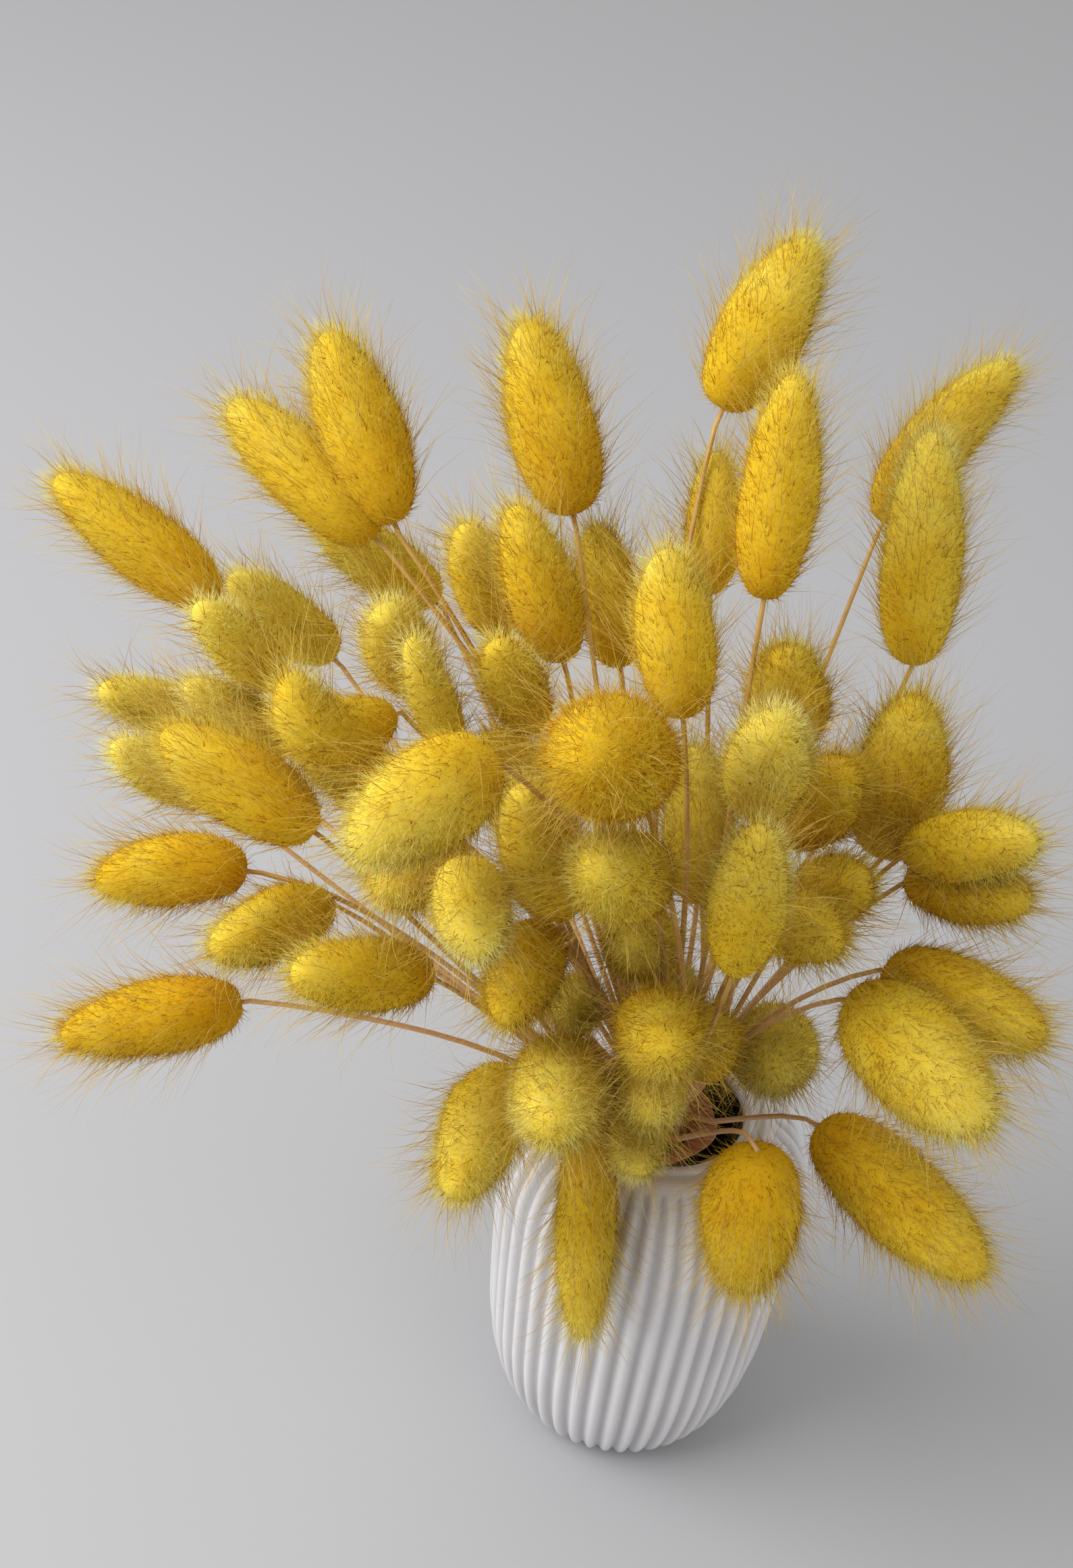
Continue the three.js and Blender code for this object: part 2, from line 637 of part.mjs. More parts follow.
// A three-sided stem through its path's points, its root sunk in the bunch.
function stemSolid(path, root) {
  const spine = [root.clone().addScaledVector(BUNCH_AXIS, -ROOT_DEPTH), ...path];
  const points = [];
  let side = new THREE.Vector3(1, 0, 0);
  spine.forEach((centre, index) => {
    const before = spine[Math.max(index - 1, 0)];
    const after = spine[Math.min(index + 1, spine.length - 1)];
    const along = after.clone().sub(before).normalize();
    side = side.clone().addScaledVector(along, -side.dot(along)).normalize();
    const frame = { point: centre, side, across: new THREE.Vector3().crossVectors(along, side) };
    for (let corner = 0; corner < STEM_SIDES; corner++) {
      points.push(aroundFrame(frame, (corner * 2 * Math.PI) / STEM_SIDES, STEM_RADIUS));
    }
  });
  const last = points.length - STEM_SIDES;
  const ends = [1, 0, 2, last, last + 1, last + 2];
  return toSolid(closedGeometry(points, [...ringFaces(STEM_SIDES, spine.length), ...ends]));
}

// The bundle in the vase, ribbed by its outer stems, cut level where it stands on the vase's floor.
function bunchSolid() {
  const around = 2 * BUNCH_RIBS;
  const points = [];
  for (const share of BUNCH_LEVELS) {
    const centre = BUNCH_FOOT.clone().lerp(NECK, share);
    const radius = THREE.MathUtils.lerp(BUNCH_FOOT_RADIUS, NECK_RADIUS, share);
    for (let side = 0; side < around; side++) {
      const reach = radius * (side % 2 === 0 ? 1 : 1 - BUNCH_RIB_SHARE);
      points.push(acrossBunch(centre, (side * Math.PI) / BUNCH_RIBS, reach));
    }
  }
  for (const point of points.slice(0, around)) point.z = BUNCH_FOOT.z;
  const last = points.length - around;
  points.push(BUNCH_FOOT.clone(), NECK.clone());
  const faces = [
    ...ringFaces(around, BUNCH_LEVELS.length),
    ...fanFaces(around, 0, points.length - 2, false),
    ...fanFaces(around, last, points.length - 1, true),
  ];
  return toSolid(closedGeometry(points, faces));
}

// Assembly

function piece(name, solid, [color, roughness]) {
  const material = new THREE.MeshStandardMaterial({ color, roughness, metalness: 0 });
  const mesh = new THREE.Mesh(toGeometry(solid), material);
  mesh.name = name;
  return mesh;
}

const clusters = clusterHeads(HEADS);
const heads = clusters.flatMap((cluster) => cluster.heads);
heads.forEach(placeHead);
settleClusters(clusters);
assignRoots(heads);
const stemPaths = heads.map(stemPath);
clearStems(heads, stemPaths);

const bunnyTails = new THREE.Group();
bunnyTails.add(piece("vase", vaseSolid(), WHITE_GLAZE));
const stemSolids = stemPaths.map((path, index) => stemSolid(path, heads[index].root));
bunnyTails.add(piece("stems", fuse([bunchSolid(), ...stemSolids]), STRAW));
const bristlesTaken = [];
for (const cluster of clusters) {
  const bristles = cluster.heads.flatMap((head) => chooseBristles(head, heads, stemPaths, bristlesTaken));
  const name = ["head", ...cluster.heads.map((head) => head.number)].join("_");
  bunnyTails.add(piece(name, clusterSolid(cluster, bristles), YELLOW));
}

export default bunnyTails;
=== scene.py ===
"""Dried bunny tail grass: dyed seed heads on straw stems, standing in a small fluted vase."""

import math
from dataclasses import dataclass

import bpy
import numpy as np
from bpy.props import FloatProperty, FloatVectorProperty, IntProperty, PointerProperty
from mathutils import Matrix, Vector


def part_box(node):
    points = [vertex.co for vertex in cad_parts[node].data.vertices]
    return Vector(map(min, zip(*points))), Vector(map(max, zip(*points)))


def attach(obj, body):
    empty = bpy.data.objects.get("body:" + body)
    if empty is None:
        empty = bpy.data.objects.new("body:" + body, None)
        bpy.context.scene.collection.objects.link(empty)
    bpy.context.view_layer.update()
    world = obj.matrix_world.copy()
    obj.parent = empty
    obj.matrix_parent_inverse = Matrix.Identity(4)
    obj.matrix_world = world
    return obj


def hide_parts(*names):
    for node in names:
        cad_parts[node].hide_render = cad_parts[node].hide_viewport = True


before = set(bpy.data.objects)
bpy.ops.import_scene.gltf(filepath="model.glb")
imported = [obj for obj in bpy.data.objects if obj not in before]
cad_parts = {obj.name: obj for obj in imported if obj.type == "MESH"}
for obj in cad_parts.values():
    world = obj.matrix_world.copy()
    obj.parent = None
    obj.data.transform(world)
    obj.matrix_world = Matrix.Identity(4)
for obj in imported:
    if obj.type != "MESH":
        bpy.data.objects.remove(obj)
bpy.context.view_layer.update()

bl_info = {
    "name": "Bunny Tail Grass",
    "version": (1, 0, 0),
    "blender": (4, 5, 0),
    "location": "View3D > Sidebar > Grass",
    "description": "Builds dried bunny tail grass in a fluted vase around its solid model",
    "category": "Add Mesh",
}

MM = 0.001
TURN = 2 * math.pi
GOLDEN_TURN = math.pi * (3 - math.sqrt(5))

# The photograph's eye and the point it looks at in millimetres, its roll, its focal length in pixels, its
# picture's size, how far the vase's mouth is from the eye, and the side of the camera's film
EYE = np.array([0, -400.5, 538])
AIM = np.array([-42, 0, 202])
ROLL = math.radians(-7.5)
FOCAL = 3502
PICTURE = (1590, 2324)
MOUTH_DEPTH = 580
FILM_SIDE = 36

# Vase, in millimetres: three curves of radius and height, each with two handles between its ends
FOOT_RADIUS = 23.3
MOUTH_RADIUS = 22.4
VASE_HEIGHT = 110
OUTLINE_CURVES = [
    [(FOOT_RADIUS, 0), (30.8, 4), (34.8, 14), (36.8, 34)],
    [(36.8, 34), (37.8, 50), (38.8, 68), (38.5, 84)],
    [(38.5, 84), (38.3, 97), (32.5, 107.5), (MOUTH_RADIUS, VASE_HEIGHT)],
]
OUTLINE_STEPS = [16, 8, 16]
WALL = 3
FLOOR = 6
FLUTES = 44
FLUTE_FOOT_FADE = 3
RIM_BAND = 4.5
RIM_FADE = 3.5
RIM_ROUND = 1.5
RIM_STEPS = 6
FOOT_ROUND = 0.8
FOOT_LIFT = 0.25
SIDES_PER_FLUTE = 8
# The hollow: how far in from the outside its wall is at each height, and its floor ends
HOLLOW_WALLS = [(14, 3.3), (34, 3.3), (60, 3.3), (84, 3.3), (92, 3.8), (98, 4.5), (104, 4.5)]
FLOOR_INSET = 6

# Bunch of stems, in millimetres: where it leans on the rim, and the foot of the bundle on the vase's floor
NECK = np.array([-2.5, -8.8, 112])
NECK_RADIUS = 8.6
BUNCH_FOOT = np.array([1, 5, 6.3])
BUNCH_FOOT_RADIUS = 9
STEM_PIECES = 3
STEM_TURN = 0.6
STEM_SPREAD = 0.07
LEAVE_SHARE = 0.36
ARRIVE_SHARE = 0.3
ROOT_INSET = 1.2
STEM_LEAD = 4
SEAT_GAP = 0.3

# Seed head: its form, and the balls that stand for it where neighbours are kept clear
FULLEST_POWER = 0.8
ROUNDING_POWER = 0.55
BALL_PLACES = np.array([0.07, 0.2, 0.34, 0.48, 0.62, 0.76, 0.9])

# Clearances between neighbours in millimetres, and how heads and stems are moved to keep them
HEAD_GAP = 0.8
STEM_GAP = 2
STEM_PITCH = 2.1
RIM_CLEARANCE = 4
SETTLE_ROUNDS = 600
SETTLE_SHARE = 0.3
SETTLE_STEP = 0.05
CLEAR_ROUNDS = 150
SMOOTH_SHARE = 0.12
PUSH_SHARE = 0.45
LIFT_STEP = 0.3
CURVE_STEPS = 200

# Each seed head: the pixels of its base and of its tip, how many millimetres each of the two is nearer to the
# eye than the vase's mouth, its radius in millimetres, and where given a shift of its tone, partly its dye
# and
# partly painted light and shade: above 0 it is paler, partly painted light where it lies in shade, and below
# 0 it is deeper, partly painted shade where other heads shade it
HEADS = [
    ((1068, 605), (1215, 330), (40, 50), 10.6),
    ((1132, 888), (1185, 520), (62, 70), 9, -0.3),
    ((582, 776), (474, 464), (36, 45), 10.6, -0.3),
    ((556, 796), (320, 578), (34, 38), 9.8),
    ((322, 888), (58, 690), (26, 36), 9, -0.3),
    ((850, 762), (774, 448), (34, 46), 10.8, -0.3),
    ((835, 978), (755, 728), (62, 78), 8.2, -0.3),
    ((742, 935), (682, 765), (28, 58), 7.4),
    ((1308, 774), (1528, 522), (-10, 4), 9.2),
    ((1352, 985), (1386, 605), (24, 40), 10, 0.3),
    ((1314, 1262), (1360, 1012), (34, 64), 11.4, -0.3),
    ((1012, 1062), (985, 790), (84, 98), 9),
    ((1052, 880), (1064, 650), (26, 36), 7, -0.3),
    ((790, 1070), (728, 945), (58, 94), 7.2),
    ((670, 1112), (602, 930), (72, 98), 5.2, 0.6),
    ((612, 1010), (566, 895), (44, 86), 8, 0.3),
    ((494, 972), (326, 842), (-24, -2), 8, 0.6),
    ((414, 1014), (280, 885), (34, 62), 6.8, 0.6),
    ((582, 1052), (432, 966), (76, 98), 8),
    ((300, 1066), (134, 1018), (-14, 14), 6.8, 0.6),
    ((424, 1110), (262, 1004), (28, 56), 7, 0.9),
    ((466, 1232), (218, 1070), (76, 86), 9.6, -0.3),
    ((322, 1182), (152, 1098), (14, 42), 7, 0.6),
    ((604, 1180), (446, 1112), (40, 68), 8),
    ((366, 1290), (120, 1316), (40, 48), 8.8, -0.6),
    ((484, 1338), (300, 1416), (30, 62), 8.6),
    ((632, 1446), (415, 1442), (54, 86), 8.8, -0.3),
    ((358, 1484), (64, 1540), (46, 56), 9, -0.9),
    ((722, 1122), (506, 1274), (112, 138), 11, 0.3),
    ((662, 1260), (560, 1320), (68, 106), 9.4),
    ((690, 1290), (712, 1420), (72, 102), 8.6, 0.6),
    ((802, 1380), (742, 1522), (50, 82), 8.8, -0.6),
    ((934, 1130), (866, 1116), (104, 152), 13.2, -0.9),
    ((955, 1306), (876, 1288), (84, 126), 10.2),
    ((960, 1408), (936, 1384), (34, 74), 8.6),
    ((1124, 1192), (1156, 1052), (78, 112), 9.6, 0.6),
    ((1090, 1432), (1132, 1208), (88, 126), 8.6, 0.3),
    ((1138, 1342), (1246, 1404), (58, 92), 8.8, -0.3),
    ((1196, 1336), (1286, 1300), (56, 76), 8.6, -0.3),
    ((1180, 1232), (1262, 1128), (44, 78), 9.4, -0.9),
    ((1348, 1262), (1552, 1244), (42, 78), 8.6),
    ((1352, 1304), (1540, 1338), (34, 66), 8.4, -0.6),
    ((1312, 1438), (1570, 1550), (52, 72), 10.6, -0.3),
    ((1276, 1482), (1474, 1688), (58, 100), 12.8, 0.3),
    ((1216, 1668), (1480, 1912), (30, 56), 11.4, -0.3),
    ((1122, 1706), (1096, 1926), (62, 40), 12, -0.3),
    ((1146, 1530), (1144, 1592), (14, 58), 11, 0.6),
    ((968, 1506), (992, 1562), (26, 70), 9.8, -0.3),
    ((962, 1588), (962, 1652), (24, 62), 8.6, 0.3),
    ((998, 1478), (992, 1448), (8, 44), 6.4, 0.6),
    ((942, 1660), (946, 1738), (22, 54), 6.8, 0.6),
    ((872, 1668), (862, 2012), (30, 10), 7.6),
    ((836, 1570), (816, 1682), (34, 86), 11.2, 0.3),
    ((748, 1592), (664, 1788), (20, 60), 10.2, 0.3),
    ((862, 1478), (846, 1502), (10, 48), 6.8, 0.3),
    ((1168, 1092), (1166, 958), (30, 64), 10, -0.3),
    ((646, 886), (462, 768), (-22, 2), 8.4, 0.3),
    ((920, 988), (878, 758), (12, 22), 8, -0.3),
    ((832, 1348), (768, 1150), (58, 92), 9.6),
    ((806, 1206), (716, 1082), (16, 44), 8.8, -0.6),
    ((1040, 1336), (1030, 1084), (28, 46), 9, 0.3),
    ((1050, 1580), (1050, 1500), (28, 56), 7.6, -0.3),
]

# How far the curled heads bow in millimetres, and the heads that are pressed into the one before them
BOWS = {9: 6, 19: 22, 25: -4}
PRESSED = {4, 39, 42, 44}

# How far a head's body may reach beyond the box of its solid, in millimetres, before the script stops
PLACE_TOLERANCE = 4


# Places in space

def unit(vector):
    return vector / np.linalg.norm(vector)


def angle_between(a, b):
    return math.acos(np.clip(np.dot(unit(a), unit(b)), -1, 1))


FORWARD = unit(AIM - EYE)
LEVEL_RIGHT = unit(np.cross(FORWARD, [0, 0, 1]))
RIGHT = LEVEL_RIGHT * math.cos(ROLL) + np.cross(FORWARD, LEVEL_RIGHT) * math.sin(ROLL)
UP = np.cross(RIGHT, FORWARD)

BUNCH_AXIS = unit(NECK - BUNCH_FOOT)
BUNCH_SIDE = unit(np.array([1, 0, 0]) - BUNCH_AXIS[0] * BUNCH_AXIS)
BUNCH_BACK = np.cross(BUNCH_AXIS, BUNCH_SIDE)


def sight(pixel, near):
    """The point in space behind a pixel of the photograph, a given distance nearer than the vase's mouth."""
    across = (pixel[0] - PICTURE[0] / 2) / FOCAL
    above = (PICTURE[1] / 2 - pixel[1]) / FOCAL
    return EYE + (MOUTH_DEPTH - near) * (FORWARD + across * RIGHT + above * UP)


def cubic_point(places, t):
    """The point at t on a curve with two ends and two handles."""
    start, first, second, end = (np.asarray(place, float) for place in places)
    rest = 1 - t
    return rest**3 * start + 3 * rest**2 * t * first + 3 * rest * t**2 * second + t**3 * end


def outline_points(steps):
    points = [np.array(OUTLINE_CURVES[0][0], float)]
    for places, count in zip(OUTLINE_CURVES, steps):
        points += [cubic_point(places, step / count) for step in range(1, count + 1)]
    return np.array(points)


OUTLINE = outline_points(OUTLINE_STEPS)


def vase_radius(height):
    return float(np.interp(height, OUTLINE[:, 1], OUTLINE[:, 0]))


@dataclass
class SeedHead:
    """One seed head: where the photograph shows it, and where it stands in space."""

    base: tuple
    tip: tuple
    near: tuple
    radius: float
    # Tone shift, partly dye and partly painted light and shade: above 0 paler, below 0 deeper
    fade: float = 0
    bow: float = 0
    number: int = 0

    def place(self, shift):
        self.start = sight(self.base, self.near[0] + shift)
        self.end = sight(self.tip, self.near[1] + shift)
        chord = self.end - self.start
        aside = unit(np.cross(unit(EYE - self.start), chord))
        self.middle = (self.start + self.end) / 2 + self.bow * aside
        self.facing = unit(np.cross(chord, aside))
        self.centres = self.point(BALL_PLACES[:, None])
        self.radii = self.half_width(BALL_PLACES)

    def point(self, t):
        return (1 - t) ** 2 * self.start + 2 * t * (1 - t) * self.middle + t**2 * self.end

    def along(self, t):
        return unit((1 - t) * (self.middle - self.start) + t * (self.end - self.middle))

    def length(self):
        points = self.point(np.linspace(0, 1, CURVE_STEPS + 1)[:, None])
        return float(np.linalg.norm(np.diff(points, axis=0), axis=1).sum())

    def half_width(self, t):
        """Round at the base, fullest before the middle, drawn in at the tip."""
        return self.radius * np.sin(math.pi * np.clip(t, 0, 1) ** FULLEST_POWER) ** ROUNDING_POWER


class Cluster:
    """A head by itself, or a pressed pair that moves and is named together."""

    def __init__(self):
        self.heads = []
        self.shift = 0.0

    def name(self):
        return "_".join(["head"] + [f"{head.number:02d}" for head in self.heads])

    def mean_near(self):
        return sum(sum(head.near) for head in self.heads) / (2 * len(self.heads))

    def move(self, step):
        self.shift += step
        for head in self.heads:
            head.place(self.shift)
        self.centres = np.concatenate([head.centres for head in self.heads])
        self.radii = np.concatenate([head.radii for head in self.heads])
        self.heart = self.centres.mean(axis=0)
        self.reach = float((np.linalg.norm(self.centres - self.heart, axis=1) + self.radii).max())

    def pressing(self, other):
        """How far this cluster's balls and the other's overlap, with the gap between them counted."""
        if np.linalg.norm(self.heart - other.heart) > self.reach + other.reach + HEAD_GAP:
            return 0
        apart = np.linalg.norm(self.centres[:, None] - other.centres[None], axis=2)
        return float((self.radii[:, None] + other.radii[None] + HEAD_GAP - apart).max())

    def sunk_in_vase(self):
        """How deep the cluster reaches into the vase's outside, its mouth taken as closed."""
        out = np.hypot(self.centres[:, 0], self.centres[:, 1])
        height = self.centres[:, 2]
        nearest = np.hypot(OUTLINE[:, 0] - out[:, None], OUTLINE[:, 1] - height[:, None]).min(axis=1)
        over_mouth = np.where(out < MOUTH_RADIUS, height - VASE_HEIGHT, np.inf)
        return float((self.radii + HEAD_GAP - np.minimum(nearest, over_mouth)).max())


def cluster_heads():
    clusters = []
    for number, row in enumerate(HEADS, start=1):
        head = SeedHead(*row, bow=BOWS.get(number, 0), number=number)
        if number not in PRESSED:
            clusters.append(Cluster())
        clusters[-1].heads.append(head)
    for cluster in clusters:
        cluster.move(0)
    return clusters


def settle_clusters(clusters):
    """Moves each cluster along its own line of sight until it stands clear of the others and of the vase."""
    order = sorted(clusters, key=Cluster.mean_near)
    for _ in range(SETTLE_ROUNDS):
        moved = False
        for index, far in enumerate(order):
            for nearer in order[index + 1:]:
                overlap = far.pressing(nearer)
                if overlap <= 0:
                    continue
                step = SETTLE_SHARE * overlap + SETTLE_STEP
                far.move(-step)
                nearer.move(step)
                moved = True
            sunk = far.sunk_in_vase()
            if sunk > 0:
                far.move(sunk)
                moved = True
        if not moved:
            return
    raise RuntimeError("the seed heads don't settle")


# Stems in space

def across_bunch(centre, angle, reach):
    return centre + reach * math.cos(angle) * BUNCH_SIDE + reach * math.sin(angle) * BUNCH_BACK


def outwardness(head):
    """How far a head leans out from the bunch's own direction, in radians."""
    return angle_between(head.start - NECK, BUNCH_AXIS)


def assign_roots(heads):
    """Roots fill the neck from the middle out, and each takes the place on the side that its head is on."""
    places = []
    for index in range(len(heads)):
        reach = (NECK_RADIUS - ROOT_INSET) * math.sqrt((index + 0.5) / len(heads))
        places.append(across_bunch(NECK, index * GOLDEN_TURN, reach))
    for head in sorted(heads, key=outwardness, reverse=True):
        wish = head.start - NECK
        wish = unit(wish - np.dot(wish, BUNCH_AXIS) * BUNCH_AXIS) * NECK_RADIUS * outwardness(head) + NECK
        nearest = min(range(len(places)), key=lambda index: np.linalg.norm(places[index] - wish))
        head.root = places.pop(nearest)


def spaced_points(places, count):
    """Points at equal distances along a curve with two handles."""
    steps = np.linspace(0, 1, CURVE_STEPS + 1)
    points = np.array([cubic_point(places, t) for t in steps])
    lengths = np.concatenate([[0], np.linalg.norm(np.diff(points, axis=0), axis=1).cumsum()])
    stops = np.interp(np.linspace(0, lengths[-1], count + 1), lengths, steps)
    return [cubic_point(places, t) for t in stops]


def stem_path(head):
    """From the head's place in the neck to its base: straight out of the bunch, then round to the head."""
    tangent = head.along(0)
    end = head.start - SEAT_GAP * tangent
    length = np.linalg.norm(end - head.root)
    leave = head.root + (BUNCH_AXIS + STEM_SPREAD * (head.root - NECK)) * LEAVE_SHARE * length
    arrive = end - ARRIVE_SHARE * length * tangent
    lead = end - STEM_LEAD * tangent
    bends = math.floor(angle_between(tangent, BUNCH_AXIS) / STEM_TURN + 0.5)
    return np.array(spaced_points([head.root, leave, arrive, lead], STEM_PIECES + bends) + [end])


def push_from(points, centres, radii):
    """The sum of the pushes that bring each of the points outside its ball."""
    away = points - centres
    gap = np.linalg.norm(away, axis=1)
    inside = (gap < radii) & (gap > 0)
    share = PUSH_SHARE * (radii[inside] - gap[inside]) / gap[inside]
    return (away[inside] * share[:, None]).sum(axis=0)


def closest_on_piece(start, end, targets):
    piece = end - start
    share = np.clip((targets - start) @ piece / np.dot(piece, piece), 0, 1)
    return start + share[:, None] * piece


def clear_stems(heads, paths):
    """Moves the middle points of each stem off the heads, the vase and the other stems."""
    centres = np.concatenate([head.centres for head in heads])
    radii = np.concatenate([head.radii for head in heads])
    owners = np.repeat(np.arange(len(heads)), len(BALL_PLACES))
    for _ in range(CLEAR_ROUNDS):
        for index, path in enumerate(paths):
            reach = radii + np.where(owners == index, 0, STEM_GAP)
            others = np.concatenate([other[1:] for number, other in enumerate(paths) if number != index])
            pitches = np.full(len(others), STEM_PITCH)
            for i in range(1, len(path) - 2):
                push = SMOOTH_SHARE * ((path[i - 1] + path[i + 1]) / 2 - path[i])
                for neighbour in (i - 1, i + 1):
                    near = closest_on_piece(path[i], path[neighbour], centres)
                    push = push + push_from(near, centres, reach)
                push = push + push_from(path[i], others, pitches)
                if path[i][2] < VASE_HEIGHT + RIM_CLEARANCE:
                    push[2] += LIFT_STEP
                path[i] += push


def build_layout():
    clusters = cluster_heads()
    settle_clusters(clusters)
    heads = [head for cluster in clusters for head in cluster.heads]
    assign_roots(heads)
    paths = [stem_path(head) for head in heads]
    clear_stems(heads, paths)
    return clusters, heads, paths


CLUSTERS, ALL_HEADS, STEM_PATHS = build_layout()


# Nodes and colours

def linear(code):
    """An sRGB colour such as #e9e8ea as linear red, green, blue and alpha."""
    shares = [int(code[at:at + 2], 16) / 255 for at in (1, 3, 5)]
    return tuple(s / 12.92 if s <= 0.04045 else ((s + 0.055) / 1.055) ** 2.4 for s in shares) + (1.0,)


def add_node(tree, kind, inputs=(), **settings):
    """Adds a node, sets its settings, and links or sets its inputs."""
    node = tree.nodes.new(kind)
    for name, value in settings.items():
        setattr(node, name, value)
    for key, value in dict(inputs).items():
        if isinstance(value, bpy.types.NodeSocket):
            tree.links.new(value, node.inputs[key])
        else:
            node.inputs[key].default_value = value
    return node


def maths(tree, operation, *values):
    return add_node(tree, "ShaderNodeMath", enumerate(values), operation=operation).outputs[0]


def vectors(tree, operation, *values):
    return add_node(tree, "ShaderNodeVectorMath", enumerate(values), operation=operation).outputs[0]


def scaled(tree, vector, scale):
    return add_node(tree, "ShaderNodeVectorMath", {0: vector, "Scale": scale}, operation="SCALE").outputs[0]


def noise(tree, place, scale, detail=2.0, output="Fac"):
    return add_node(
        tree, "ShaderNodeTexNoise", {"Vector": place, "Scale": scale, "Detail": detail},
    ).outputs[output]


# Geometry trees

def new_tree(name, inputs):
    """A geometry tree with a geometry in and out, and a named input for each size."""
    tree = bpy.data.node_groups.new(name, "GeometryNodeTree")
    tree.interface.new_socket("Geometry", in_out="OUTPUT", socket_type="NodeSocketGeometry")
    tree.interface.new_socket("Geometry", in_out="INPUT", socket_type="NodeSocketGeometry")
    for label, kind in inputs.items():
        tree.interface.new_socket(label, in_out="INPUT", socket_type=kind)
    return tree, tree.nodes.new("NodeGroupInput").outputs


def dressed(tree, geometry, material):
    """Smooth-shaded geometry in a material."""
    smooth = add_node(tree, "GeometryNodeSetShadeSmooth", {"Geometry": geometry}).outputs[0]
    return add_node(tree, "GeometryNodeSetMaterial", {"Geometry": smooth, "Material": material}).outputs[0]


def end_tree(tree, geometry):
    solid = add_node(tree, "GeometryNodeRealizeInstances", {"Geometry": geometry})
    add_node(tree, "NodeGroupOutput", {"Geometry": solid.outputs["Geometry"]})


def stored_value(tree, name, kind="FLOAT"):
    return add_node(tree, "GeometryNodeInputNamedAttribute", {"Name": name}, data_type=kind).outputs[0]


def with_value(tree, geometry, name, value, domain="POINT"):
    return add_node(
        tree, "GeometryNodeStoreNamedAttribute", {"Geometry": geometry, "Name": name, "Value": value},
        data_type="FLOAT", domain=domain,
    ).outputs[0]


def random_between(tree, low, high, seed):
    return add_node(
        tree, "FunctionNodeRandomValue", {2: low, 3: high, "Seed": seed}, data_type="FLOAT",
    ).outputs[1]


# Materials

def new_material(name):
    material = bpy.data.materials.new(name)
    material.use_nodes = True
    tree = material.node_tree
    tree.nodes.clear()
    return material, tree


def finish_material(tree, shader):
    add_node(tree, "ShaderNodeOutputMaterial", {"Surface": shader.outputs[0]})


def object_place(tree):
    return add_node(tree, "ShaderNodeTexCoord").outputs["Object"]


def attribute(tree, name, output="Fac"):
    return add_node(tree, "ShaderNodeAttribute", attribute_name=name).outputs[output]


def ramped(tree, share, stops):
    """A colour from a ramp, whose stops are each a place and a hex colour."""
    ramp = add_node(tree, "ShaderNodeValToRGB", {"Fac": share})
    elements = ramp.color_ramp.elements
    elements.remove(elements[-1])
    for index, (place, code) in enumerate(stops):
        element = elements[0] if index == 0 else elements.new(place)
        element.position = place
        element.color = linear(code)
    return ramp.outputs["Color"]


def blended(tree, share, first, second):
    return add_node(
        tree, "ShaderNodeMix", {"Factor": share, "A": first, "B": second}, data_type="RGBA",
    ).outputs["Result"]


def bumped(tree, height, strength, distance):
    return add_node(
        tree, "ShaderNodeBump", {"Height": height, "Strength": strength, "Distance": distance},
    ).outputs["Normal"]


def mixed_shader(tree, share, first, second):
    return add_node(tree, "ShaderNodeMixShader", {0: share, 1: first.outputs[0], 2: second.outputs[0]})


def lit_through(tree, surface, colour, share):
    """A surface that passes a share of the light on through it."""
    return mixed_shader(tree, share, surface, add_node(tree, "ShaderNodeBsdfTranslucent", {"Color": colour}))


# Meshes and pieces

def make_mesh(name, vertices, faces, edges=()):
    mesh = bpy.data.meshes.new(name)
    mesh.from_pydata([tuple(vertex) for vertex in vertices], list(edges), faces)
    mesh.update()
    return mesh


def store(mesh, name, values):
    """Stores a value or a vector for each of a mesh's points."""
    values = np.asarray(values, np.float32)
    kind, key = ("FLOAT_VECTOR", "vector") if values.ndim == 2 else ("FLOAT", "value")
    mesh.attributes.new(name, kind, "POINT").data.foreach_set(key, values.ravel())


def ring_faces(sides, rings):
    """Faces of a closed skin: a first point, rings of points, and a last point."""
    beside = [(step + 1) % sides for step in range(sides)]
    faces = []
    for low in range(1, (rings - 1) * sides, sides):
        for step in range(sides):
            high = low + sides
            faces.append((low + step, low + beside[step], high + beside[step], high + step))
    top = 1 + rings * sides
    for step in range(sides):
        faces.append((0, 1 + beside[step], 1 + step))
        faces.append((top, top - sides + step, top - sides + beside[step]))
    return faces


def link_object(name, mesh):
    piece = bpy.data.objects.new(name, mesh)
    bpy.context.scene.collection.objects.link(piece)
    return piece


def run_tree(name, mesh, tree, values):
    """Runs a geometry tree on a mesh and returns a finished object with the plain mesh that it makes."""
    source = link_object(name + "_source", mesh)
    modifier = source.modifiers.new(tree.name, "NODES")
    modifier.node_group = tree
    for item in tree.interface.items_tree:
        if item.in_out == "INPUT" and item.name in values:
            modifier[item.identifier] = values[item.name]
    depsgraph = bpy.context.evaluated_depsgraph_get()
    evaluated = source.evaluated_get(depsgraph)
    made = bpy.data.meshes.new_from_object(evaluated, preserve_all_data_layers=True, depsgraph=depsgraph)
    source.modifiers.remove(modifier)
    bpy.data.objects.remove(source)
    made.name = name
    return link_object(name, made)


def set_down(piece, slot, *nodes):
    """Fixes a finished piece to the object, in place of its solids if it has any."""
    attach(piece, "root")
    if nodes:
        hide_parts(*nodes)


# Vase

# Waves of the glaze's tone and of its orange peel to a metre
GLAZE_DRIFT = 40.0
GLAZE_PEEL = 450.0
# Painted shade: the dark colour of the hollow inside the vase
INSIDE_PAINTED_SHADE = "#4a463c"


def smooth_step(low, high, value):
    share = min(max((value - low) / (high - low), 0), 1)
    return share * share * (3 - 2 * share)


def flute_share(radius, height):
    """How much of the flute's depth is cut: none on the foot's edge or on the smooth band under the rim."""
    below_rim = math.hypot(VASE_HEIGHT - height, radius - MOUTH_RADIUS)
    return smooth_step(0, FLUTE_FOOT_FADE, height) * smooth_step(RIM_BAND, RIM_BAND + RIM_FADE, below_rim)


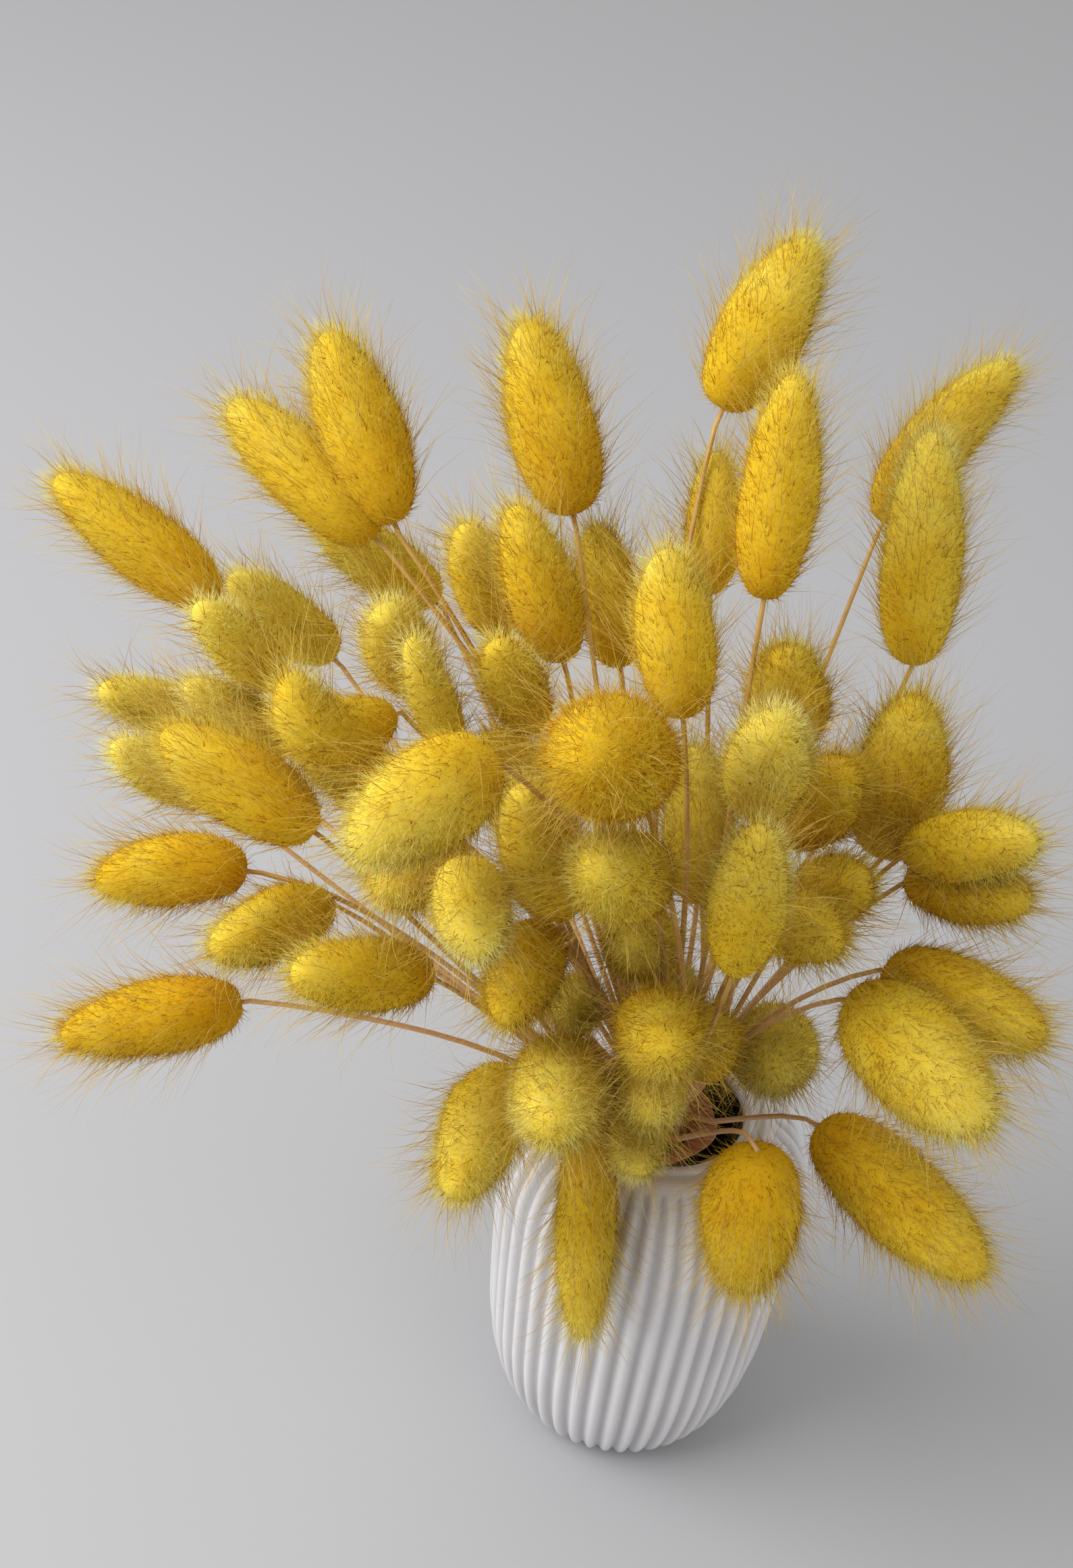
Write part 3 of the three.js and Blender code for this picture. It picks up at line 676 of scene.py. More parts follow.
def vase_section():
    """Up the outside, over the rim and down to the floor: radius, height, share of flute, and painted shade.
    """
    rows = [(FOOT_RADIUS - FOOT_ROUND, 0, 0, 0)]
    for radius, height in OUTLINE[:-1]:
        rows.append((radius, max(height, FOOT_LIFT), flute_share(radius, height), 0))
    middle = MOUTH_RADIUS - RIM_ROUND
    for step in range(RIM_STEPS + 1):
        angle = math.pi * step / RIM_STEPS
        height = VASE_HEIGHT - RIM_ROUND * (1 - math.sin(angle))
        rows.append((middle + RIM_ROUND * math.cos(angle), height, 0, 0))
    rows.append((MOUTH_RADIUS - WALL, VASE_HEIGHT - WALL, 0, 0))
    for height, wall in reversed(HOLLOW_WALLS):
        rows.append((vase_radius(height) - wall, height, 0, 1))
    rows.append((vase_radius(FLOOR) - FLOOR_INSET, FLOOR, 0, 1))
    return rows


def vase_mesh():
    around = FLUTES * SIDES_PER_FLUTE
    rows = vase_section()
    points = [(0, 0, 0)]
    for radius, height, _, _ in rows:
        for side in range(around):
            angle = TURN * side / around - math.pi / 2
            points.append((radius * MM * math.cos(angle), radius * MM * math.sin(angle), height * MM))
    points.append((0, 0, FLOOR * MM))
    mesh = make_mesh("vase_wall", points, ring_faces(around, len(rows)))
    shares, inside_shades = np.repeat([row[2:] for row in rows], around, axis=0).T
    store(mesh, "flute_share", [0, *shares, 0])
    # Which points of the hollow's wall and floor take the painted shade
    store(mesh, "inside_shade", [0, *inside_shades, 1])
    return mesh


def flutes_tree():
    """Cuts narrow round flutes between broader ribs, all round a wall."""
    tree, inputs = new_tree("Flutes", {
        "Count": "NodeSocketInt",
        "Depth": "NodeSocketFloat",
        "Narrowness": "NodeSocketFloat",
        "Material": "NodeSocketMaterial",
    })
    position = add_node(tree, "GeometryNodeInputPosition").outputs[0]
    outward = vectors(tree, "NORMALIZE", vectors(tree, "MULTIPLY", position, (1, 1, 0)))
    parts = add_node(tree, "ShaderNodeSeparateXYZ", {0: position}).outputs
    angle = maths(tree, "ARCTAN2", parts["X"], parts["Y"])
    wave = maths(tree, "COSINE", maths(tree, "MULTIPLY", angle, inputs["Count"]))
    lifted = maths(tree, "MULTIPLY_ADD", wave, 0.5, 0.5)
    groove = maths(tree, "POWER", lifted, inputs["Narrowness"])
    cut = maths(tree, "MULTIPLY", groove, stored_value(tree, "flute_share"))
    inward = maths(tree, "MULTIPLY", inputs["Depth"], -1.0)
    offset = scaled(tree, outward, maths(tree, "MULTIPLY", cut, inward))
    moved = add_node(tree, "GeometryNodeSetPosition", {"Geometry": inputs["Geometry"], "Offset": offset})
    marked = with_value(tree, moved.outputs[0], "groove", cut)
    end_tree(tree, dressed(tree, marked, inputs["Material"]))
    return tree


def glazed_stoneware(settings):
    """White glaze over slip-cast stoneware: a soft gloss, greyer in the flutes with pooled glaze and painted
    shade.
    """
    material, tree = new_material("white_glazed_stoneware")
    coordinates = object_place(tree)
    # Slow drift of the glaze's tone, over patches of about 25 mm
    drift = noise(tree, coordinates, GLAZE_DRIFT, 3.0)
    # Painted shade: the flutes are blended towards a darker grey, partly glaze pooled there and partly shade
    # in the grooves
    pooled_and_shaded = maths(tree, "MULTIPLY", attribute(tree, "groove"), settings.pooling_and_shade)
    tone = maths(tree, "MULTIPLY_ADD", drift, settings.drift, pooled_and_shaded)
    colour = blended(tree, tone, settings.glaze_colour, settings.pooled_glaze_and_shade_colour)
    # Below the mouth the hollow's wall and floor are painted dark grey-brown: painted shade inside the vase
    colour = blended(tree, attribute(tree, "inside_shade"), colour, linear(INSIDE_PAINTED_SHADE))
    # Orange-peel of the fired glaze, about 2 mm from crest to crest
    bump = bumped(tree, noise(tree, coordinates, GLAZE_PEEL), 0.12, 0.4 * MM)
    finish_material(tree, add_node(tree, "ShaderNodeBsdfPrincipled", {
        "Base Color": colour, "Roughness": 0.28, "IOR": 1.5, "Coat Weight": 0.35, "Coat Roughness": 0.12,
        "Normal": bump,
    }))
    return material


# Stems

EASE_ROUNDS = 3
EASE_SHARE = 0.4
# How far a stem runs into its head, as a share of the head's length, and how much thinner it is there
STEM_END = 0.15
STEM_TAPER = 0.3
# Streaks round a straw and along a metre of it, and patches of tone to a metre
STREAKS_ROUND = 8.0
STREAKS_ALONG = 80.0
STRAW_PATCHES = 90.0
STRAW_COLOURS = [(0.3, "#8c6024"), (0.45, "#b48840"), (0.6, "#c8a25c"), (0.75, "#dabf84")]
# The copper of the low sheaths, painted paler than it is as painted light where the heads shade them,
# and the heights in metres between which it fades out
LOW_COLOUR = "#e2b494"
LOW_HEIGHTS = (0.115, 0.19)
LOW_SHARE = 0.75


def eased(path):
    """The path with its kinks drawn out, and its ends kept."""
    path = path.copy()
    for _ in range(EASE_ROUNDS):
        path[1:-1] += EASE_SHARE * ((path[:-2] + path[2:]) / 2 - path[1:-1])
    return path


def stem_routes():
    """Each stem's whole way: from the bundle's foot on the vase's floor, through the neck, to its head."""
    routes = []
    for head, path in zip(ALL_HEADS, map(eased, STEM_PATHS)):
        reach = head.root - NECK
        foot = BUNCH_FOOT + reach * BUNCH_FOOT_RADIUS / NECK_RADIUS
        foot = foot + BUNCH_AXIS * (BUNCH_FOOT[2] - foot[2]) / BUNCH_AXIS[2]
        routes.append(np.vstack([foot, (foot + head.root) / 2, path, head.point(STEM_END)]))
    return routes


def stem_lines():
    points, edges, thickness, numbers = [], [], [], []
    for number, route in enumerate(stem_routes()):
        first = len(points)
        edges += [(index, index + 1) for index in range(first, first + len(route) - 1)]
        points += list(route * MM)
        thickness += list(np.linspace(1, 1 - STEM_TAPER, len(route)))
        numbers += [number] * len(route)
    mesh = make_mesh("stem_lines", points, [], edges)
    store(mesh, "thickness", thickness)
    store(mesh, "number", numbers)
    return mesh


def straws_tree():
    """Sweeps a round straw along each line."""
    tree, inputs = new_tree("Straws", {
        "Radius": "NodeSocketFloat",
        "Pieces": "NodeSocketInt",
        "Sides": "NodeSocketInt",
        "Material": "NodeSocketMaterial",
    })
    line = add_node(tree, "GeometryNodeMeshToCurve", {"Mesh": inputs["Geometry"]}).outputs[0]
    line = add_node(
        tree, "GeometryNodeCurveSplineType", {"Curve": line}, spline_type="CATMULL_ROM",
    ).outputs[0]
    line = add_node(tree, "GeometryNodeResampleCurve", {"Curve": line, "Count": inputs["Pieces"]}).outputs[0]
    parameter = add_node(tree, "GeometryNodeSplineParameter").outputs
    line = with_value(tree, line, "length", parameter["Length"])
    circle = add_node(tree, "GeometryNodeCurvePrimitiveCircle", {
        "Resolution": inputs["Sides"], "Radius": 1.0,
    }, mode="RADIUS").outputs[0]
    swept = add_node(tree, "GeometryNodeCurveToMesh", {
        "Curve": line, "Profile Curve": with_value(tree, circle, "turn", parameter["Factor"]),
        "Scale": maths(tree, "MULTIPLY", stored_value(tree, "thickness"), inputs["Radius"]),
        "Fill Caps": True,
    }).outputs[0]
    end_tree(tree, dressed(tree, swept, inputs["Material"]))
    return tree


def fibre_noise(tree, across, along, number=0.0):
    """Noise drawn out along a straw or a leaf: how many waves lie round it and along it."""
    wide = maths(tree, "MULTIPLY", attribute(tree, "turn"), across)
    long = maths(tree, "MULTIPLY", attribute(tree, "length"), along)
    place = add_node(tree, "ShaderNodeCombineXYZ", {"X": wide, "Y": long, "Z": number}).outputs[0]
    return noise(tree, place, 1.0, 3.0)


def dried_straw():
    """Dried grass stalk: satin tan, fine lengthwise streaks, copper low in the bunch and paler as painted
    light.
    """
    material, tree = new_material("dried_grass_straw")
    coordinates = object_place(tree)
    # Streaks about 0.6 mm apart and 12 mm long, drawn wider than the real fibres so that they show
    streak = fibre_noise(tree, STREAKS_ROUND, STREAKS_ALONG, attribute(tree, "number"))
    both = maths(tree, "ADD", streak, noise(tree, coordinates, STRAW_PATCHES))
    colour = ramped(tree, maths(tree, "MULTIPLY", both, 0.5), STRAW_COLOURS)
    # Sheaths low in the bunch have dried to a copper colour, painted paler as painted light in the heads'
    # shade
    low = add_node(tree, "ShaderNodeMapRange", {
        "Value": add_node(tree, "ShaderNodeSeparateXYZ", {0: coordinates}).outputs["Z"],
        "From Min": LOW_HEIGHTS[0], "From Max": LOW_HEIGHTS[1], "To Min": LOW_SHARE, "To Max": 0.0,
    }).outputs["Result"]
    finish_material(tree, add_node(tree, "ShaderNodeBsdfPrincipled", {
        "Base Color": blended(tree, low, colour, linear(LOW_COLOUR)), "Roughness": 0.5,
        "Normal": bumped(tree, streak, 0.4, 0.1 * MM),
    }))
    return material


# Leaf sheath

# Round the bundle in degrees, where -90 is its front, and along it from the neck in millimetres
SHEATH_TURN = (-150, 60)
SHEATH_REACH = (-12, 6)
SHEATH_RADIUS = 9.85
SHEATH_STEPS = (40, 12)
# The top edge rises to the middle of the leaf by this power, with torn notches of this depth and number
EDGE_POWER = 0.6
NOTCH_DEPTH = 0.08
NOTCHES = 23
# Veins to a millimetre across the leaf and along it
VEINS_ACROSS = 1.6
VEINS_ALONG = 0.1
# The leaf's copper is painted paler than it is: painted light on a leaf that lies in the heads' shade
LEAF_COLOURS = [(0.3, "#b4744c"), (0.5, "#d69c76"), (0.65, "#e6ba9a"), (0.8, "#f2d6c2")]


def sheath_edge(turn):
    """How high the torn top edge stands at a share of the way round."""
    return math.sin(math.pi * turn) ** EDGE_POWER + NOTCH_DEPTH * math.sin(NOTCHES * turn)


def sheath_faces(across, up):
    """Faces of a closed thin sheet: an outer and an inner layer of points, and the four edges between."""
    layer = (up + 1) * (across + 1)
    faces = []
    for row in range(up):
        for step in range(across):
            a = row * (across + 1) + step
            b, c, d = a + 1, a + across + 2, a + across + 1
            faces += [(a, b, c, d), (a + layer, d + layer, c + layer, b + layer)]
            rims = [(row == 0, b, a), (row == up - 1, d, c), (step == 0, a, d), (step == across - 1, c, b)]
            faces += [(first, last, last + layer, first + layer) for at_rim, first, last in rims if at_rim]
    return faces


def sheath_mesh(settings):
    """A thin curved leaf round the front of the bundle, where it leans on the vase's rim."""
    across, up = SHEATH_STEPS
    points, turns, lengths = [], [], []
    for depth in (0, settings.thickness / MM):
        for row in range(up + 1):
            for step in range(across + 1):
                turn = step / across
                angle = math.radians(SHEATH_TURN[0] + (SHEATH_TURN[1] - SHEATH_TURN[0]) * turn)
                top = SHEATH_REACH[1] * sheath_edge(turn)
                reach = SHEATH_REACH[0] + (top - SHEATH_REACH[0]) * row / up
                radius = SHEATH_RADIUS + settings.flare * max(reach, 0) - depth
                points.append(across_bunch(NECK + reach * BUNCH_AXIS, angle, radius) * MM)
                turns.append(angle * SHEATH_RADIUS)
                lengths.append(reach)
    mesh = make_mesh("leaf_sheath", points, sheath_faces(across, up))
    store(mesh, "turn", turns)
    store(mesh, "length", lengths)
    return mesh


def dried_leaf():
    """Dried grass leaf: papery copper, paler as painted light, with a satin gloss and fine raised veins along
    it.
    """
    material, tree = new_material("dried_grass_leaf")
    # Veins about 0.6 mm apart that fade in and out over some 10 mm
    vein = fibre_noise(tree, VEINS_ACROSS, VEINS_ALONG)
    colour = ramped(tree, vein, LEAF_COLOURS)
    surface = add_node(tree, "ShaderNodeBsdfPrincipled", {
        "Base Color": colour, "Roughness": 0.4, "Normal": bumped(tree, vein, 0.4, 0.2 * MM),
    })
    finish_material(tree, lit_through(tree, surface, colour, 0.3))
    return material


# Seed heads

BODY_SIDES = 22
BODY_ROWS = 22
BODY_SHARE = 0.92
BODY_END = 0.91
BODY_ROUNDING = 0.45
LUMP_SHARE = 0.03
# Lumps: waves round the head and along it
LUMPS = [(2, 7), (3, 9)]


def lump_at(angle, t, phases):
    """How far a head's body swells or dips at a place: one pattern of lumps on another."""
    (round_one, along_one), (round_two, along_two) = LUMPS
    first = math.sin(round_one * angle + phases[0]) * math.sin(along_one * t + phases[1])
    return first + math.sin(round_two * angle + along_two * t + phases[2])


def head_body(head):
    """The head's dense middle, a little short of its tip: points, and what each point tells the hair."""
    points, grow, along, local = [], [], [], []
    phases = np.random.default_rng(head.number).uniform(0, TURN, 3)
    length = head.length()
    for row in range(BODY_ROWS + 1):
        share = (1 - math.cos(math.pi * row / BODY_ROWS)) / 2
        t = BODY_END * share
        full = BODY_SHARE * head.radius * math.sin(math.pi * share ** FULLEST_POWER) ** BODY_ROUNDING
        ahead = head.along(t)
        side = unit(head.facing - np.dot(head.facing, ahead) * ahead)
        across = np.cross(ahead, side)
        centre = head.point(t)
        count = 1 if row in (0, BODY_ROWS) else BODY_SIDES
        for step in range(count):
            angle = TURN * step / BODY_SIDES
            reach = full * (1 + LUMP_SHARE * lump_at(angle, t, phases)) if count > 1 else 0
            points.append((centre + reach * (math.cos(angle) * side + math.sin(angle) * across)) * MM)
            grow.append(ahead)
            along.append(t)
            x, y = reach * math.cos(angle), reach * math.sin(angle)
            local.append((x, y, length * (t + 2 * head.number)))
    return points, grow, along, local


def cluster_mesh(cluster):
    points, faces, grow, along, local, fade = [], [], [], [], [], []
    for head in cluster.heads:
        first = len(points)
        skin = ring_faces(BODY_SIDES, BODY_ROWS - 1)
        faces += [tuple(first + corner for corner in face) for face in skin]
        for all_values, values in zip((points, grow, along, local), head_body(head)):
            all_values += values
        # Each point keeps its head's tone shift, partly dye and partly painted light and shade
        fade += [head.fade] * (len(points) - first)
    mesh = make_mesh(cluster.name() + "_body", points, faces)
    store(mesh, "grow", grow)
    store(mesh, "local", local)
    store(mesh, "along", along)
    store(mesh, "fade", fade)
    return mesh


def check_place(body, node):
    """Stops the script if a head's body doesn't stand inside the box of its solid."""
    low, high = (np.array(corner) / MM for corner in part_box(node))
    points = np.array([vertex.co for vertex in body.vertices]) / MM
    beyond = max((low - points.min(axis=0)).max(), (points.max(axis=0) - high).max())
    if beyond > PLACE_TOLERANCE:
        raise RuntimeError(f"{body.name} stands {beyond:.1f} mm outside its solid {node}")


# Hair on the heads

HAIR_SIZES = ("Density", "Length", "Width", "Lean", "Spread")
# What grows from a head's foot to its tip, as a rise and a start: how thick hair stands and how far it strays
THICKER = (0.9, 0.55)
WILDER = (0.8, 0.7)
# Short hair grows longer towards the tip by a power, with a rise and a start
LONGER_POWER = 4.0
LONGER = (1.1, 0.9)
# Tufts to a metre in which hairs lean together, and how strongly short hairs and awns do so
TUFTS = 250.0
HAIR_TUFTING = 0.8
AWN_TUFTING = 1.5
# The share by which lengths vary up and down, and each random draw's own step from the head's seed
HAIR_VARIATION = 0.4
AWN_VARIATION = 0.35
HAIR_LENGTH_SEED = 11.0
AWN_LENGTH_SEED = 23.0
AWN_SEED = 500.0
# How far an awn's end bends over, as a share of its length
AWN_BEND = 0.25


def scattered(tree, surface, density, seed, lean, spread, tufting):
    """Points over a surface, with the turn that lays each hair outwards, tipwards and a little astray."""
    along = stored_value(tree, "along")
    density = maths(tree, "MULTIPLY", density, maths(tree, "MULTIPLY_ADD", along, *THICKER))
    spots = add_node(
        tree, "GeometryNodeDistributePointsOnFaces", {"Mesh": surface, "Density": density, "Seed": seed},
        distribute_method="RANDOM",
    )
    grow = stored_value(tree, "grow", "FLOAT_VECTOR")
    outward = vectors(tree, "ADD", spots.outputs["Normal"], scaled(tree, grow, lean))
    astray = add_node(tree, "FunctionNodeRandomValue", {
        0: (-1, -1, -1), 1: (1, 1, 1), "Seed": seed,
    }, data_type="FLOAT_VECTOR").outputs[0]
    straying = maths(tree, "MULTIPLY", spread, maths(tree, "MULTIPLY_ADD", along, *WILDER))
    aim = vectors(tree, "ADD", outward, scaled(tree, astray, straying))
    # Hairs that stand together lean together, in tufts about 4 mm wide
    position = add_node(tree, "GeometryNodeInputPosition").outputs[0]
    field = noise(tree, position, TUFTS, 1.0, "Color")
    combed = scaled(tree, vectors(tree, "SUBTRACT", field, (0.5, 0.5, 0.5)), tufting)
    aim = vectors(tree, "ADD", aim, combed)
    turned = add_node(tree, "FunctionNodeAlignRotationToVector", {"Vector": aim}, axis="Z").outputs[0]
    spin = random_between(tree, 0.0, TURN, seed)
    spun = add_node(tree, "FunctionNodeAxisAngleToRotation", {"Axis": (0, 0, 1), "Angle": spin}).outputs[0]
    rotation = add_node(
        tree, "FunctionNodeRotateRotation", {"Rotation": turned, "Rotate By": spun}, rotation_space="LOCAL",
    ).outputs[0]
    return spots.outputs["Points"], rotation


def varied(tree, value, share, seed, shift):
    """A size varied by a share up and down."""
    factor = random_between(tree, 1 - share, 1 + share, maths(tree, "ADD", seed, shift))
    return maths(tree, "MULTIPLY", value, factor)


def cone(tree, radius, segments, height):
    """A slim three-sided cone of length 1 that knows how far along it each of its points is."""
    shape = add_node(tree, "GeometryNodeMeshCone", {
        "Vertices": 3, "Side Segments": segments, "Radius Top": 0.0, "Radius Bottom": radius, "Depth": 1.0,
    }, fill_type="NGON").outputs["Mesh"]
    return with_value(tree, shape, "tip", height)


def planted(tree, spots, shape, size, seed, material):
    """A shape at each spot, with its size, its own shade, and its material."""
    points, rotation = spots
    shapes = add_node(tree, "GeometryNodeInstanceOnPoints", {
        "Points": points, "Instance": shape, "Rotation": rotation, "Scale": size,
    }).outputs[0]
    shaded = with_value(tree, shapes, "shade", random_between(tree, 0.0, 1.0, seed), "INSTANCE")
    return dressed(tree, shaded, material)


def hair_tree():
    """Covers a seed head's body with short soft hairs and sparse long awns."""
    sizes = {f"{kind} {size}": "NodeSocketFloat" for kind in ("Hair", "Awn") for size in HAIR_SIZES}
    materials = {f"{kind} Material": "NodeSocketMaterial" for kind in ("Body", "Hair", "Awn")}
    tree, inputs = new_tree("Seed head hair", {"Seed": "NodeSocketInt", **sizes, **materials})
    surface, seed = inputs["Geometry"], inputs["Seed"]
    position = add_node(tree, "GeometryNodeInputPosition").outputs[0]
    height = add_node(tree, "ShaderNodeSeparateXYZ", {0: position}).outputs["Z"]

    # Short hair: a slim spike, longer towards the head's tip
    spots = scattered(
        tree, surface, inputs["Hair Density"], seed, inputs["Hair Lean"], inputs["Hair Spread"],
        HAIR_TUFTING,
    )
    growth = maths(tree, "POWER", stored_value(tree, "along"), LONGER_POWER)
    growth = maths(tree, "MULTIPLY_ADD", growth, *LONGER)
    length = maths(tree, "MULTIPLY", growth, inputs["Hair Length"])
    length = varied(tree, length, HAIR_VARIATION, seed, HAIR_LENGTH_SEED)
    width = inputs["Hair Width"]
    size = add_node(tree, "ShaderNodeCombineXYZ", {"X": width, "Y": width, "Z": length}).outputs[0]
    hairs = planted(tree, spots, cone(tree, 0.5, 1, height), size, seed, inputs["Hair Material"])

    # Awn: a long thread that bends over
    awn_seed = maths(tree, "ADD", seed, AWN_SEED)
    spots = scattered(
        tree, surface, inputs["Awn Density"], awn_seed, inputs["Awn Lean"], inputs["Awn Spread"],
        AWN_TUFTING,
    )
    slimness = maths(tree, "DIVIDE", inputs["Awn Width"], inputs["Awn Length"])
    bend = maths(tree, "MULTIPLY", maths(tree, "POWER", height, 2.0), AWN_BEND)
    sideways = add_node(tree, "ShaderNodeCombineXYZ", {"X": bend}).outputs[0]
    thread = add_node(
        tree, "GeometryNodeSetPosition", {"Geometry": cone(tree, slimness, 2, height), "Offset": sideways},
    ).outputs[0]
    length = varied(tree, inputs["Awn Length"], AWN_VARIATION, awn_seed, AWN_LENGTH_SEED)
    awns = planted(tree, spots, thread, length, awn_seed, inputs["Awn Material"])

    body = dressed(tree, surface, inputs["Body Material"])
    joined = add_node(tree, "GeometryNodeJoinGeometry")
    for part in (awns, hairs, body):
        tree.links.new(part, joined.inputs[0])
    end_tree(tree, joined.outputs[0])
    return tree


# Dye, with painted light and shade

# What makes the tone paler: the way up a hair, whose deeper roots are partly dye and partly painted shade,
# the hair's own random shade, the way along the head, the head's tone shift, partly dye and partly painted
# light and shade, and patches about 12 mm wide where the dye took unevenly, given as waves to a metre
TONE_START = -0.08
TONE_SHARES = {"tip": 0.2, "shade": 0.15, "along": 0.5, "fade": 0.3}
PATCH_SHARE = 0.6
DYE_PATCHES = 85.0
HAIR_COLOURS = [(0.0, "#dcac1e"), (0.3, "#e5c02e"), (0.55, "#ebd44c"), (0.8, "#efe478"), (1.0, "#f6f0a8")]
# The felt's deeper colours are partly the dye and partly painted shade under the hair
FELT_COLOURS = [(0.0, "#ba860a"), (0.3, "#c69a10"), (0.65, "#d2b226"), (1.0, "#dcc64c")]
AWN_COLOURS = [(0.0, "#deba44"), (0.5, "#e8cc60"), (1.0, "#f3e28e")]
# Clusters of rusty glumes to a metre, and how rare they are
GLUME_CLUSTERS = 160.0
GLUME_RARITY = 1.21
GLUME_COLOUR = "#a8580f"
# The share of a lamp's light that passes between the fine hairs that each modelled hair stands for
LET_THROUGH = 0.8
# The felt's pile in waves to a millimetre, round the head and along it, and how much paler its crests are
PILE = (2.0, 2.0, 0.7)
PILE_SHARE = 0.4


def tone_with_painted_light(tree):
    """How pale the tone is at a place, from dye and painted light and shade: 0 deep ochre, 1 pale lemon."""
    tone = TONE_START
    for name, share in TONE_SHARES.items():
        tone = maths(tree, "MULTIPLY_ADD", attribute(tree, name), share, tone)
    return maths(tree, "MULTIPLY_ADD", noise(tree, object_place(tree), DYE_PATCHES), PATCH_SHARE, tone)


def hair_dye_with_painted_light():
    """Dyed dried seed hair: matt, lit through, deep ochre roots partly painted shade, pale lemon ends."""
    material, tree = new_material("seed_hair_dye_with_painted_light")
    # The tone is deeper at the hair roots, partly dye and partly painted shade
    colour = ramped(tree, tone_with_painted_light(tree), HAIR_COLOURS)
    # Rusty glumes show through here and there, in clusters about 6 mm wide
    cluster = noise(tree, object_place(tree), GLUME_CLUSTERS)
    chance = maths(tree, "MULTIPLY_ADD", cluster, 0.5, attribute(tree, "shade"))
    rusty = maths(tree, "GREATER_THAN", chance, GLUME_RARITY)
    colour = blended(tree, rusty, colour, linear(GLUME_COLOUR))
    surface = add_node(tree, "ShaderNodeBsdfPrincipled", {
        "Base Color": colour, "Roughness": 0.8, "Specular IOR Level": 0.0,
    })
    hair = lit_through(tree, surface, colour, 0.5)
    # Each modelled hair stands for several finer ones, which let most of a lamp's light pass between them
    lamp = add_node(tree, "ShaderNodeLightPath").outputs["Is Shadow Ray"]
    clear = add_node(tree, "ShaderNodeBsdfTransparent")
    finish_material(tree, mixed_shader(tree, maths(tree, "MULTIPLY", lamp, LET_THROUGH), hair, clear))
    return material


def felt_dye_with_painted_shade():
    """The dense felt of hair roots under the open hair: matt, soft, lit from within, partly painted shade."""
    material, tree = new_material("seed_felt_dye_with_painted_shade")
    # Pile of hair ends about 0.5 mm across and 1.5 mm long, coarser than real hair so that it shows
    laid = vectors(tree, "MULTIPLY", attribute(tree, "local", "Vector"), PILE)
    pile = noise(tree, laid, 1.0, 4.0)
    # Painted shade: the felt takes the deeper felt colours, partly for the shade under the hair
    tone = maths(tree, "MULTIPLY_ADD", pile, PILE_SHARE, tone_with_painted_light(tree))
    finish_material(tree, add_node(tree, "ShaderNodeBsdfPrincipled", {
        "Base Color": ramped(tree, tone, FELT_COLOURS), "Roughness": 0.9, "Specular IOR Level": 0.1,
        "Normal": bumped(tree, pile, 0.35, 0.4 * MM), "Subsurface Weight": 0.6,
        "Subsurface Radius": (1.0, 0.9, 0.5), "Subsurface Scale": MM,
    }))
    return material


def golden_awn():
    """Dried awn: a thin golden straw thread with a faint gloss."""
    material, tree = new_material("dried_golden_awn")
    colour = ramped(tree, attribute(tree, "shade"), AWN_COLOURS)
    surface = add_node(tree, "ShaderNodeBsdfPrincipled", {"Base Color": colour, "Roughness": 0.45})
    finish_material(tree, lit_through(tree, surface, colour, 0.5))
    return material


# Stage

# The floor's half side, each light's place and size, and the place that both shine at, in metres
FLOOR_REACH = 3.0
KEY_PLACE = (-0.95, -0.3, 0.95)
KEY_SIZE = 1.2
FILL_PLACE = (0.9, -0.5, 0.6)
FILL_SIZE = 1.0
LIGHT_AIM = (0, 0, 0.16)
ROOM_COLOUR = "#f3f2f0"


def aimed(place, forward, up):
    """The matrix of a lamp or camera at a place, which looks forward with a given upward side."""
    right = unit(np.cross(forward, up))
    above = np.cross(right, forward)
    matrix = Matrix.Identity(4)
    for column, axis in enumerate((right, above, -forward, place)):
        for row in range(3):
            matrix[row][column] = axis[row]
    return matrix


def add_floor(colour):
    reach = FLOOR_REACH
    corners = [(-reach, -reach, 0), (reach, -reach, 0), (reach, reach, 0), (-reach, reach, 0)]
    floor = link_object("pale_floor", make_mesh("pale_floor", corners, [(0, 1, 2, 3)]))
    material, tree = new_material("matt_floor")
    finish_material(tree, add_node(tree, "ShaderNodeBsdfPrincipled", {
        "Base Color": colour, "Roughness": 0.8,
    }))
    floor.data.materials.append(material)


def add_light(name, place, power, size):
    light = bpy.data.lights.new(name, "AREA")
    light.energy = power
    light.size = size
    toward = np.array(LIGHT_AIM) - np.array(place)
    link_object(name, light).matrix_world = aimed(np.array(place), unit(toward), np.array([0, 0, 1]))


def add_room(scene, strength):
    world = bpy.data.worlds.new("pale_room")
    world.use_nodes = True
    background = world.node_tree.nodes["Background"].inputs
    background["Color"].default_value = linear(ROOM_COLOUR)
    background["Strength"].default_value = strength
    scene.world = world
    scene.view_settings.view_transform = "Standard"


def add_camera(scene):
    camera = bpy.data.cameras.new("photo_camera")
    camera.sensor_fit = "VERTICAL"
    camera.sensor_width = FILM_SIDE
    camera.sensor_height = FILM_SIDE
    camera.lens = FOCAL / PICTURE[1] * FILM_SIDE
    camera.clip_start = 0.01
    eye = link_object("photo_camera", camera)
    eye.matrix_world = aimed(EYE * MM, FORWARD, UP)
    scene.camera = eye


# Settings

